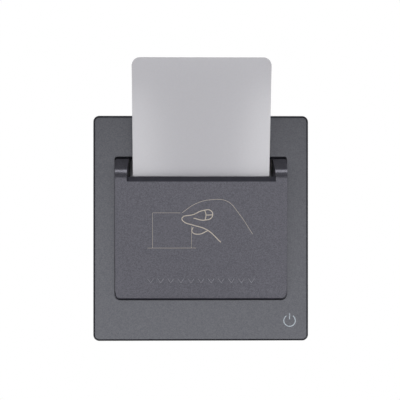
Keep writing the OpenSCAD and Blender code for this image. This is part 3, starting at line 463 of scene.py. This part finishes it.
for side in (-1, 1):
    for end in (-1, 1):
        hook_up = (end * HOOK_UP - HOOK_HALF, end * HOOK_UP + HOOK_HALF)
        block(bm, flip(HOOK_X, side), hook_up, HOOK_OUT, TINY_R)
        block(bm, flip(HOOK_LIP_X, side), hook_up, HOOK_LIP_OUT, TINY_R)
        block(bm, flip(LEDGE_X, side), flip(LEDGE_UP, end), LEDGE_OUT, TINY_R)
front_plate = smooth_sides(new_object("plate_moulding", bm, [plate_paint]))
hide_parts("front_plate")
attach(front_plate, "base")
print("plate moulding:", len(front_plate.data.polygons), "faces")

# %% [markdown]
# Most other pieces already have their right shape in the construction. What they lack is what a mould or a
# press gives: no real edge is knife sharp. A copy of each is merged, because the construction's triangles
# hang loose, its flat parts are dissolved into whole faces, and its outer edges are rounded a little.

# %% Finished copies of construction nodes
MERGE_DIST = 0.001 * MM
FLAT_WITHIN, CORNER_FROM = radians(0.5), radians(35)


def merged_copy(node):
    """A bmesh copy of a node, merged, with its flat parts as whole faces."""
    bm = bmesh.new()
    bm.from_mesh(frame["nodes"][node].data)
    bmesh.ops.remove_doubles(bm, verts=bm.verts, dist=MERGE_DIST)
    bmesh.ops.dissolve_limit(bm, angle_limit=FLAT_WITHIN, verts=bm.verts, edges=bm.edges)
    return bm


def corner_edges(bm):
    """The edges of a mesh that stand out as corners, and not the ones in hollows or on round stretches."""
    return [e for e in bm.edges if e.is_manifold and e.calc_face_angle_signed() > CORNER_FROM]


def put_in_place(made, node):
    """Lets a finished piece stand for a node, on the node's own body."""
    body = next(b for b, members in frame["record"]["behaviour"]["bodies"].items() if node in members)
    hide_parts(node)
    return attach(made, body)


def finish_node(node, materials, edge_r, second=None):
    """Replaces a node by a merged copy with rounded corners. Second picks faces for the second material."""
    bm = merged_copy(node)
    for face in bm.faces:
        face.material_index = 1 if second and second(face) else 0
    round_edges(bm, corner_edges(bm), edge_r, EDGE_STEPS)
    return put_in_place(smooth_sides(new_object(node + "_finished", bm, materials)), node)


EROSION_MM = 0.5
CLOUDED_MM = 4.0


def moulded(name, dark, light, roughness):
    """Injection-moulded plastic: an even body colour with faint flow clouds and a fine eroded grain."""
    material, tree, output, place = new_material(name)
    cloud = add(tree, "ShaderNodeTexNoise", {"Scale": 1 / (CLOUDED_MM * MM), "Detail": 2.0},
                {"Vector": place})
    grain = add(tree, "ShaderNodeTexNoise", {"Scale": 1 / (EROSION_MM * MM), "Detail": 2.0},
                {"Vector": place})
    colour = add(tree, "ShaderNodeMix", {COLOUR_A: linear(dark), COLOUR_B: linear(light)},
                 {0: cloud.outputs["Fac"]}, data_type="RGBA")
    relief = add(tree, "ShaderNodeBump", {"Strength": 0.15, "Distance": 0.02 * MM},
                 {"Height": grain.outputs["Fac"]})
    body = add(tree, "ShaderNodeBsdfPrincipled", {"Roughness": roughness},
               {"Base Color": colour.outputs[COLOUR_OUT], "Normal": relief.outputs["Normal"]})
    tree.links.new(body.outputs[0], output.inputs["Surface"])
    return material


# A near-black plastic that paints shade on the pocket's mouth slope, underside and hidden faces.
shade_dark_abs = moulded("dark_abs_as_painted_shade", SHADE_DARK_PLASTIC, "#2b2b37", 0.75)
print("finish tools ready, grain at", EROSION_MM, "mm")

# %% [markdown]
# The pocket cover gets two radii: a round foot, whose dark line the eye reads as thickness, and crisp edges
# elsewhere. The slope that leads the card in gets a near-black plastic, as painted shade for the dark band
# at the mouth. That slope is the only face that looks up and out at once inside the mouth's width. The
# underside and what lies deeper than the plate's face get the same near-black plastic, as painted shade,
# so the line under the foot and the gap round the pocket look dark.

# %% Pocket cover
FOOT_R, CRISP_R = 0.8, 0.25
FOOT_TOP = -25.9 * MM
MOUTH_HALF, MOUTH_LOW, MOUTH_HIGH = 29.6 * MM, 18.3 * MM, 21.0 * MM
GAP_SHADE_DEPTH = 0.9 * MM
# The foot's edges lie below FOOT_TOP, stand PROUD of the plate's face and are longer than SHORTEST.
PROUD, SHORTEST = 1 * MM, 0.1 * MM
# How far a face's normal points up, out of the wall or down.
LOOKS_UP, LOOKS_OUT, LOOKS_DOWN = 0.4, -0.4, -0.5

bm = merged_copy("pocket_cover")
foot = [e for e in corner_edges(bm) if e.calc_length() > SHORTEST
        and all(v.co.z < FOOT_TOP and v.co.y < plate_low.y - PROUD for v in e.verts)]
round_edges(bm, foot, FOOT_R, 5)
round_edges(bm, corner_edges(bm), CRISP_R, EDGE_STEPS)
for face in bm.faces:
    middle, normal = face.calc_center_median(), face.normal
    slopes = normal.z > LOOKS_UP and normal.y < LOOKS_OUT
    in_mouth = slopes and abs(middle.x) < MOUTH_HALF and MOUTH_LOW < middle.z < MOUTH_HIGH
    hidden = all(v.co.y > plate_low.y + GAP_SHADE_DEPTH for v in face.verts)
    underneath = normal.z < LOOKS_DOWN
    # Faces in the mouth, deep behind the plate's face or underneath take the near-black plastic, as painted
    # shade.
    face.material_index = 1 if in_mouth or hidden or underneath else 0
pocket = smooth_sides(new_object("pocket_moulding", bm, [darkened_pocket_paint, shade_dark_abs]))
put_in_place(pocket, "pocket_cover")
print("pocket cover:", len(pocket.data.polygons), "faces,", len(foot), "foot edges")

# %% [markdown]
# The overhead strip is meant for the ears, and the lamps underneath and on the right for the card. On the
# rounded rims of the plate and the pocket they would draw bright lines where the photograph has dark ones. A
# photographer shades such a rim with a small black card. Here a lamp gets a list of pieces that it leaves
# out. The lamps for the painted sides get the opposite, a list of the only pieces that they light.

# %% The pieces that a lamp lights
def link_lamp(lamp_name, pieces, state):
    """Gives one lamp a list of pieces: with EXCLUDE it lights all others, with INCLUDE only these."""
    listed = bpy.data.collections.new("pieces_of_" + lamp_name)
    for piece in pieces:
        listed.objects.link(piece)
    for entry in listed.collection_objects:
        entry.light_linking.link_state = state
    next(lamp for lamp in lamps if lamp.name == lamp_name).light_linking.receiver_collection = listed
    print(lamp_name, state.lower(), [piece.name for piece in pieces])


link_lamp("lamp_over", [front_plate], "EXCLUDE")
link_lamp("lamp_right", [front_plate], "EXCLUDE")
link_lamp("lamp_under", [front_plate, pocket], "EXCLUDE")
link_lamp("lamp_beside_right", [front_plate, pocket], "INCLUDE")
link_lamp("lamp_beside_left", [front_plate, pocket], "INCLUDE")
link_lamp("lamp_above", [front_plate], "INCLUDE")

# %% [markdown]
# The card is a standard plastic one: three layers of PVC pressed together and die cut, with rounded corners.
# It is pale grey under a clear satin laminate, which the coat layer of its material stands for. A grid
# square with bevelled corners gives the outline, an extrusion the thickness, and a hair of bevel the cut
# edge, which catches the light.

# %% Laminated PVC of the card
GRAIN_MM = 0.6


def laminated_pvc(name, core, face):
    """Pressed PVC sheet: pale and even, with the mild gloss and faint orange peel of its clear laminate."""
    material, tree, output, place = new_material(name)
    grain = add(tree, "ShaderNodeTexNoise", {"Scale": 1 / (GRAIN_MM * MM), "Detail": 2.0}, {"Vector": place})
    colour = add(tree, "ShaderNodeMix", {COLOUR_A: linear(core), COLOUR_B: linear(face)},
                 {0: grain.outputs["Fac"]}, data_type="RGBA")
    relief = add(tree, "ShaderNodeBump", {"Strength": 0.05, "Distance": 0.01 * MM},
                 {"Height": grain.outputs["Fac"]})
    sheet = add(tree, "ShaderNodeBsdfPrincipled",
                {"Roughness": 0.13, "IOR": 1.53, "Coat Weight": 1.0, "Coat Roughness": 0.13},
                {"Base Color": colour.outputs[COLOUR_OUT], "Normal": relief.outputs["Normal"]})
    tree.links.new(sheet.outputs[0], output.inputs["Surface"])
    return material


card_sheet = laminated_pvc("satin_laminated_pvc", "#b4b3b8", "#bab9be")
print("laminate grain at", GRAIN_MM, "mm")

# %% Key card
CARD_W, CARD_H, CARD_T, CARD_R, CARD_EDGE_R = 53.98, 85.6, 0.76, 3.18, 0.08
CARD_LEAN = radians(15)
CUT_CORNER = radians(60)
card_low, card_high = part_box("key_card")
card_middle = (card_low + card_high) / 2

bm = bmesh.new()
corners = bmesh.ops.create_grid(bm, x_segments=1, y_segments=1, size=0.5)["verts"]
bmesh.ops.scale(bm, verts=corners, vec=(CARD_W * MM, CARD_H * MM, 1))
bmesh.ops.bevel(bm, geom=corners, offset=CARD_R * MM, offset_type="OFFSET", affect="VERTICES",
                segments=2 * CORNER_STEPS, profile=0.5, material=-1)
front = bmesh.ops.extrude_face_region(bm, geom=list(bm.faces))["geom"]
front = [g for g in front if isinstance(g, bmesh.types.BMVert)]
bmesh.ops.translate(bm, verts=front, vec=(0, 0, CARD_T * MM))
bmesh.ops.translate(bm, verts=bm.verts, vec=(0, 0, -CARD_T * MM / 2))
bmesh.ops.recalc_face_normals(bm, faces=bm.faces)
round_edges(bm, [e for e in bm.edges if e.calc_face_angle(0) > CUT_CORNER], CARD_EDGE_R, EDGE_STEPS)
lean = Matrix.Translation(card_middle) @ Matrix.Rotation(pi / 2 + CARD_LEAN, 4, "X")
bmesh.ops.transform(bm, matrix=lean, verts=bm.verts)
card = smooth_sides(new_object("pvc_card", bm, [card_sheet]))
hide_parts("key_card")
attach(card, "card")
print("card stands out", round(-card_low.y / MM, 1), "mm at its top")

# %% [markdown]
# The print on the pocket shows what to do: a hand holds a card over a slot. Such marks are pad printed. A
# soft pad sets down ink a few hundredths of a millimetre thick. Each line here is a curve with a round
# section, made into a mesh and pressed flat, so that it stands as little proud of the paint as real ink.

# %% Printing tools
INK_H = 0.03
SPECK_MM = 0.7


def printing_ink(name, thin, full):
    """Pad-printed ink: matt and opaque, a trace thinner in places where the pad lifted."""
    material, tree, output, place = new_material(name)
    speck = add(tree, "ShaderNodeTexNoise", {"Scale": 1 / (SPECK_MM * MM), "Detail": 2.0}, {"Vector": place})
    colour = add(tree, "ShaderNodeMix", {COLOUR_A: linear(thin), COLOUR_B: linear(full)},
                 {0: speck.outputs["Fac"]}, data_type="RGBA")
    ink = add(tree, "ShaderNodeBsdfPrincipled", {"Roughness": 0.6},
              {"Base Color": colour.outputs[COLOUR_OUT]})
    tree.links.new(ink.outputs[0], output.inputs["Surface"])
    return material


def draw(name, ink, place, pen, lines):
    """Prints lines with a pen in millimetres: each has points across and up, and is smooth or not."""
    curve = bpy.data.curves.new(name, "CURVE")
    curve.dimensions = "3D"
    curve.bevel_depth = pen / 2 * MM
    curve.bevel_resolution = 1
    curve.use_fill_caps = True
    for points, smooth in lines:
        spline = curve.splines.new("BEZIER")
        spline.bezier_points.add(len(points) - 1)
        for knot, (across, up) in zip(spline.bezier_points, points):
            knot.co = (across * MM, up * MM, 0)
            knot.handle_left_type = knot.handle_right_type = "AUTO" if smooth else "VECTOR"
    drawn = bpy.data.meshes.new_from_object(bpy.data.objects.new(name, curve))
    bm = bmesh.new()
    bm.from_mesh(drawn)
    bmesh.ops.remove_doubles(bm, verts=bm.verts, dist=MERGE_DIST)
    bmesh.ops.recalc_face_normals(bm, faces=bm.faces)
    flat = Matrix.Diagonal((1, 1, 2 * INK_H / pen, 1))
    bmesh.ops.transform(bm, matrix=place @ flat, verts=bm.verts)
    made = new_object(name, bm, [ink])
    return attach(made, "base")


pocket_face = max(pocket.data.polygons, key=lambda polygon: polygon.area)
pocket_slope = -pocket_face.normal.z / -pocket_face.normal.y
pocket_tilt = atan(pocket_slope)
face_out = pocket_face.center.y + pocket_slope * pocket_face.center.z
on_pocket = Matrix.Translation((0, face_out, 0)) @ Matrix.Rotation(pi / 2 + pocket_tilt, 4, "X")
on_plate = Matrix.Translation((0, plate_low.y, 0)) @ Matrix.Rotation(pi / 2, 4, "X")
print("pocket leans out", round(degrees(pocket_tilt), 2), "degrees")

# %% [markdown]
# The sign is a plain one: a card above its slot, and a hand whose thumb and finger hold the card while the
# other fingers fold behind them. A few smooth strokes are enough. Below it a row of faint arrow heads says
# which way to push, and in the plate's corner stands the common sign for power, a ring that is open at its
# top with a bar in it.

# %% Print on pocket and plate
FINE_PEN, HAND_PEN, FINGER_PEN, ARROW_PEN, POWER_PEN = 0.13, 0.15, 0.36, 0.2, 0.42
cream_ink = printing_ink("cream_pad_ink", "#ada59a", "#c8bfb3")
grey_ink = printing_ink("grey_pad_ink", "#828288", "#929299")
silver_ink = printing_ink("silver_pad_ink", "#a3acb4", "#bbc3cb")

draw("print_card", cream_ink, on_pocket, FINE_PEN, [
    ([(-19.2, -7.7), (-19.2, 6.3), (-8.2, 6.3)], False),
    ([(-3.8, -7.7), (-3.8, 0.9)], False),
    ([(-21.2, -7.7), (-2.0, -7.7)], False),
])
draw("print_hand", cream_ink, on_pocket, HAND_PEN, [
    ([(-7.6, 6.3), (-2.2, 9.9), (4.0, 11.5), (10.4, 10.8), (14.6, 6.4), (20.4, -2.2)], True),
])
draw("print_fingers", cream_ink, on_pocket, FINGER_PEN, [
    ([(-6.8, 5.0), (-3.2, 5.6), (0.6, 7.2), (4.0, 7.0), (4.2, 4.6), (1.2, 3.4), (-3.0, 4.2)], True),
    ([(-6.8, 5.0), (-7.6, 4.0), (-6.6, 2.6), (-3.4, 1.5), (2.2, -0.4), (7.8, -5.4)], True),
    ([(-3.2, 0.6), (-3.6, -1.2), (-1.2, -2.2), (2.6, -0.8)], True),
    ([(1.4, 7.3), (1.9, 5.4), (1.5, 3.5)], True),
    ([(1.9, 5.4), (4.4, 5.5)], True),
])
ARROW_HEADS, ARROW_STEP, ARROW_W, ARROW_H, ARROW_UP = 11, 4.0, 2.4, 1.7, -20.8
heads = [(k - (ARROW_HEADS - 1) / 2) * ARROW_STEP for k in range(ARROW_HEADS)]
draw("print_arrow_heads", grey_ink, on_pocket, ARROW_PEN, [
    ([(x - ARROW_W / 2, ARROW_UP + ARROW_H / 2), (x, ARROW_UP - ARROW_H / 2),
      (x + ARROW_W / 2, ARROW_UP + ARROW_H / 2)], False) for x in heads])

POWER_X, POWER_UP, POWER_R, POWER_STEPS = 35.5, -36.9, 2.3, 12
RING_FROM, RING_SPAN = 125, 290
BAR_LOW, BAR_HIGH = 0.2, 1.3
turns = [radians(RING_FROM + RING_SPAN * k / POWER_STEPS) for k in range(POWER_STEPS + 1)]
draw("print_power", silver_ink, on_plate, POWER_PEN, [
    ([(POWER_X + POWER_R * cos(t), POWER_UP + POWER_R * sin(t)) for t in turns], True),
    ([(POWER_X, POWER_UP + BAR_LOW * POWER_R), (POWER_X, POWER_UP + BAR_HIGH * POWER_R)], False),
])
print("printed", len(heads), "arrow heads")

# %% [markdown]
# Behind the plate a frame is screwed to the wall box, and a cradle on it holds the card. Frames like this
# are moulded in glass-filled nylon, pale and stiff. The cradle is plain grey ABS, and deep in the mouth it
# looks dark by itself. The screws are zinc-plated steel, whose turned metal shows fine lines round the head.

# %% Frame, cradle and screws
LINE_MM = 0.12
DRAWN_OUT = 0.08


def worked_metal(name, dark, light, roughness, lines):
    """Metal with fine lines from rolling, drawing or turning: lines scales the pattern on each axis."""
    material, tree, output, place = new_material(name)
    stretched = add(tree, "ShaderNodeMapping", {"Scale": lines}, {"Vector": place})
    line = add(tree, "ShaderNodeTexNoise", {"Scale": 1 / (LINE_MM * MM), "Detail": 3.0},
               {"Vector": stretched.outputs[0]})
    colour = add(tree, "ShaderNodeMix", {COLOUR_A: linear(dark), COLOUR_B: linear(light)},
                 {0: line.outputs["Fac"]}, data_type="RGBA")
    relief = add(tree, "ShaderNodeBump", {"Strength": 0.1, "Distance": 0.01 * MM},
                 {"Height": line.outputs["Fac"]})
    metal = add(tree, "ShaderNodeBsdfPrincipled", {"Metallic": 1.0, "Roughness": roughness},
                {"Base Color": colour.outputs[COLOUR_OUT], "Normal": relief.outputs["Normal"]})
    tree.links.new(metal.outputs[0], output.inputs["Surface"])
    return material


ALONG_X, ALONG_Y, ALONG_Z = (DRAWN_OUT, 1, 1), (1, DRAWN_OUT, 1), (1, 1, DRAWN_OUT)
EVERY_WAY = (1, 1, 1)
zinc = worked_metal("zinc_plated_steel", "#a6a7ab", "#c4c5c8", 0.34, ALONG_Y)
finish_node("mounting_frame", [moulded("glass_filled_nylon", "#d0cec6", "#dddbd4", 0.55)], edge_r=0.3)
finish_node("card_cradle", [moulded("grey_moulded_abs", "#85858b", "#919197", 0.5)], edge_r=0.25)
finish_node("cradle_screws", [zinc], edge_r=0.12)
finish_node("housing_screws", [zinc], edge_r=0.12)
print("frame, cradle and", len(frame["nodes"]["housing_screws"].data.polygons), "screw faces finished")

# %% [markdown]
# Two bent strips of phosphor bronze press on the card so that it doesn't rattle. The card stands on a
# follower of acetal, a slippery white plastic, and a steel spring lifts the follower when the card goes.

# %% Grip springs and follower
bronze = worked_metal("phosphor_bronze_strip", "#a37a3c", "#c3985a", 0.3, ALONG_Z)
finish_node("grip_springs", [bronze], edge_r=0.05)
finish_node("card_follower", [moulded("natural_acetal", "#e2e0d8", "#eceae3", 0.3)], edge_r=0.25)
print("grips and follower finished")

# %% [markdown]
# The spring is a real coil. A small circle is spun about the axis while it moves along it, which is how a
# coiling machine feeds its wire.

# %% Return spring
COIL_R, WIRE_R, COIL_TURNS, TURN_STEPS, WIRE_SIDES = 1.7, 0.2, 6, 24, 10
spring_low, spring_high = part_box("return_spring")
spring_middle = (spring_low + spring_high) / 2
coil_end = COIL_R + WIRE_R
spring_h = (spring_high.z - spring_low.z) / MM
coil_length = (spring_h - 2 * coil_end * sin(CARD_LEAN)) / cos(CARD_LEAN) - 2 * WIRE_R
coil_steps = COIL_TURNS * TURN_STEPS

bm = bmesh.new()
wire = bmesh.ops.create_circle(bm, segments=WIRE_SIDES, radius=WIRE_R * MM)["verts"]
stand = Matrix.Translation((COIL_R * MM, 0, -coil_length / 2 * MM)) @ Matrix.Rotation(pi / 2, 4, "X")
bmesh.ops.transform(bm, matrix=stand, verts=wire)
bmesh.ops.spin(bm, geom=bm.verts[:] + bm.edges[:], cent=(0, 0, 0), axis=(0, 0, 1), angle=2 * pi * COIL_TURNS,
               steps=coil_steps, dvec=(0, 0, coil_length / coil_steps * MM))
bmesh.ops.holes_fill(bm, edges=bm.edges, sides=WIRE_SIDES)
bmesh.ops.recalc_face_normals(bm, faces=bm.faces)
lay = Matrix.Translation(spring_middle) @ Matrix.Rotation(CARD_LEAN, 4, "X")
bmesh.ops.transform(bm, matrix=lay, verts=bm.verts)
spring_wire = worked_metal("drawn_spring_steel", "#a9abb0", "#c9cbcf", 0.28, EVERY_WAY)
spring = new_object("coil_spring", bm, [spring_wire])
spring.data.shade_smooth()
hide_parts("return_spring")
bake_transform(spring)
print("coil length in mm:", round(coil_length, 2), "faces:", len(spring.data.polygons))

# %% [markdown]
# The lever switch is a bought part: a dark case, a steel lever on a pin, a red plunger and brass pins that
# are bent down to the board. Only its lever and plunger move.

# %% Lever switch
strip_steel = worked_metal("rolled_spring_steel_strip", "#b0b2b7", "#cfd1d5", 0.26, ALONG_X)
tinned_brass = worked_metal("tinned_brass", "#b59f78", "#d0ba93", 0.3, ALONG_Y)
finish_node("switch_case", [moulded("switch_grade_phenolic", "#202024", "#2b2b30", 0.45)], edge_r=0.2)
finish_node("switch_lever", [strip_steel], edge_r=0.05)
finish_node("lever_pin", [zinc], edge_r=0.05)
finish_node("switch_plunger", [moulded("red_acetal", "#b23327", "#c83f32", 0.3)], edge_r=0.15)
finish_node("switch_pins", [tinned_brass], edge_r=0.08)
print("switch finished")

# %% [markdown]
# The board is glass fibre under green solder mask. Copper runs under the mask and shows as faint paler
# lines. A pattern of very long bricks, shifted by odd shares of their length, gives lines that run side by
# side and step now and then, as tracks do. The parts on the board differ by their skins: dipped, sleeved,
# lacquered or moulded. Their leads are tinned copper wire.

# %% Circuit board
TRACK_MM, TRACK_RUN, TRACK_STEP = 0.4, 26.0, 1.5
TRACK_SHIFT, TRACKS_ABREAST, TRACK_SHORTER = 0.37, 3, 0.55
solder_mask, tree, output, place = new_material("green_solder_mask")
laid = add(tree, "ShaderNodeMapping", {"Rotation": (pi / 2, 0, 0)}, {"Vector": place})
tracks = add(tree, "ShaderNodeTexBrick", {
    "Color1": linear("#2a6040"), "Color2": linear("#2b6241"), "Mortar": linear("#34734e"), "Scale": 1 / MM,
    "Mortar Size": TRACK_MM / 2, "Brick Width": TRACK_RUN, "Row Height": TRACK_STEP},
    {"Vector": laid.outputs[0]}, offset=TRACK_SHIFT, offset_frequency=TRACKS_ABREAST,
    squash=TRACK_SHORTER, squash_frequency=TRACKS_ABREAST + 1)
mask = add(tree, "ShaderNodeBsdfPrincipled", {"Roughness": 0.3}, {"Base Color": tracks.outputs["Color"]})
tree.links.new(mask.outputs[0], output.inputs["Surface"])
finish_node("circuit_board", [solder_mask], edge_r=0.1)

lead_wire = worked_metal("tinned_copper_wire", "#b9bbbe", "#d3d5d7", 0.3, EVERY_WAY)
LEAD_H = 0.95 * MM
board_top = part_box("circuit_board")[1].y


def is_lead(face):
    """Faces close over the board belong to the wire leads of a part that stands off it."""
    return face.calc_center_median().y < board_top + LEAD_H


finish_node("relay", [moulded("blue_pbt_relay_case", "#26396a", "#2f467d", 0.35)], edge_r=0.4)
finish_node("film_capacitor", [moulded("yellow_pbt_capacitor_box", "#ac9734", "#c0aa42", 0.4)], edge_r=0.5)
finish_node("fuse", [moulded("brown_nylon_fuse_cap", "#523426", "#633f30", 0.45)], edge_r=0.4)
dipped = moulded("blue_dipped_epoxy", "#284d97", "#335eb1", 0.22)
finish_node("varistor", [dipped, lead_wire], edge_r=0.3, second=is_lead)
epoxy = moulded("black_moulded_epoxy", "#202023", "#2b2b2f", 0.5)
finish_node("bridge_rectifier", [epoxy], edge_r=0.2)
finish_node("timer_chip", [epoxy], edge_r=0.2)
finish_node("relay_driver", [epoxy, lead_wire], edge_r=0.15, second=is_lead)
print("board parts start", round(board_top / MM, 2), "mm behind the wall")

# %% [markdown]
# Two skins carry marks by custom. A sleeve on an electrolytic capacitor has a pale stripe on its minus side,
# and a resistor has colour rings for its value. Both are painted by place: the stripe by the distance to
# one side, the rings by steps along the body.

# %% Sleeve with a stripe and lacquer with rings
can_low, can_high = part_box("electrolytic_capacitor")
STRIPE_W = 1.4 * MM
LOOKS_BACK = 0.9
sleeve, tree, output, place = new_material("printed_pvc_sleeve")
across = add(tree, "ShaderNodeSeparateXYZ", links={"Vector": place})
grain = add(tree, "ShaderNodeTexNoise", {"Scale": 1 / (EROSION_MM * MM)}, {"Vector": place})
skin = add(tree, "ShaderNodeMix", {COLOUR_A: linear("#2c3038"), COLOUR_B: linear("#393e47")},
           {0: grain.outputs["Fac"]}, data_type="RGBA")
striped = add(tree, "ShaderNodeMath", {1: can_low.x + STRIPE_W}, {0: across.outputs["X"]},
              operation="LESS_THAN")
colour = add(tree, "ShaderNodeMix", {COLOUR_B: linear("#b9bcc0")},
             {0: striped.outputs[0], COLOUR_A: skin.outputs[COLOUR_OUT]}, data_type="RGBA")
wrap = add(tree, "ShaderNodeBsdfPrincipled", {"Roughness": 0.35}, {"Base Color": colour.outputs[COLOUR_OUT]})
tree.links.new(wrap.outputs[0], output.inputs["Surface"])
can_end = worked_metal("drawn_aluminium_can", "#b4b6b9", "#cfd1d3", 0.35, EVERY_WAY)
finish_node("electrolytic_capacitor", [sleeve, can_end], edge_r=0.6,
            second=lambda face: face.normal.y > LOOKS_BACK)

body_low, body_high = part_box("power_resistor")
resistor_axis = Vector(((body_low.x + body_high.x) / 2, body_high.y - (body_high.z - body_low.z) / 2,
                        (body_low.z + body_high.z) / 2))
RESISTOR_L, PAST_END, LEAD_REACH = 10.0 * MM, 0.2 * MM, 1.0 * MM
LACQUER = "#7fa8b8"
lacquer, tree, output, place = new_material("lacquered_resistor_body")
along = add(tree, "ShaderNodeSeparateXYZ", links={"Vector": place})
step = add(tree, "ShaderNodeMapRange", {
    "From Min": resistor_axis.x - RESISTOR_L / 2, "From Max": resistor_axis.x + RESISTOR_L / 2},
    {"Value": along.outputs["X"]})
ring_colours = add(tree, "ShaderNodeValToRGB", links={"Fac": step.outputs["Result"]})
ramp = ring_colours.color_ramp
ramp.interpolation = "CONSTANT"
ramp.elements[0].color = linear(LACQUER)
ramp.elements[1].position, ramp.elements[1].color = 0.9, linear(LACQUER)
for start, ring in ((0.16, "#8a4b2a"), (0.24, LACQUER), (0.32, "#26262a"), (0.4, LACQUER),
                    (0.48, "#c4561f"), (0.56, LACQUER), (0.8, "#b7913e")):
    ramp.elements.new(start).color = linear(ring)
coat = add(tree, "ShaderNodeBsdfPrincipled", {"Roughness": 0.3},
           {"Base Color": ring_colours.outputs["Color"]})
tree.links.new(coat.outputs[0], output.inputs["Surface"])


def is_axial_lead(face):
    """Faces past the resistor's ends, or close to its axis, belong to its leads."""
    arms = [v.co - resistor_axis for v in face.verts]
    return all(abs(arm.x) > RESISTOR_L / 2 + PAST_END or arm.yz.length < LEAD_REACH for arm in arms)


finish_node("power_resistor", [lacquer, lead_wire], edge_r=0.15, second=is_axial_lead)
print("stripe", round(STRIPE_W / MM, 1), "mm wide, rings on", round(RESISTOR_L / MM, 1), "mm of lacquer")

# %% [markdown]
# A small light behind the mouth helps to find the switch in the dark. A clear acrylic guide carries its
# glow to the mouth. Acrylic bends light and is polished, so it gets transmission and almost no roughness.

# %% Indicator light and guide
acrylic, tree, output, place = new_material("polished_clear_acrylic")
polish = add(tree, "ShaderNodeTexNoise", {"Scale": 1 / (CLOUDED_MM * MM)}, {"Vector": place})
haze = add(tree, "ShaderNodeMapRange", {"To Min": 0.03, "To Max": 0.12}, {"Value": polish.outputs["Fac"]})
clear = add(tree, "ShaderNodeBsdfPrincipled",
            {"Base Color": linear("#e9f1f3"), "IOR": 1.49, "Transmission Weight": 1.0},
            {"Roughness": haze.outputs["Result"]})
tree.links.new(clear.outputs[0], output.inputs["Surface"])
finish_node("light_guide", [acrylic], edge_r=0.15)
finish_node("indicator_led", [moulded("diffused_led_resin", "#e3e6e9", "#f1f3f5", 0.25)], edge_r=0.2)
print("light finished")

# %% [markdown]
# The back is what the fitter sees: a pale housing that goes into the wall box and a green terminal block
# with brass clamps. The housing is plain moulded ABS with a dull, eroded surface.

# %% Housing and terminals
finish_node("rear_housing", [moulded("ivory_moulded_abs", "#dcdad3", "#e7e5df", 0.55)], edge_r=0.4)
finish_node("terminal_block", [moulded("green_polyamide", "#2a7147", "#338556", 0.45)], edge_r=0.3)
finish_node("terminal_clamps", [tinned_brass], edge_r=0.15)
finish_node("terminal_screws", [zinc], edge_r=0.12)
print("back finished")
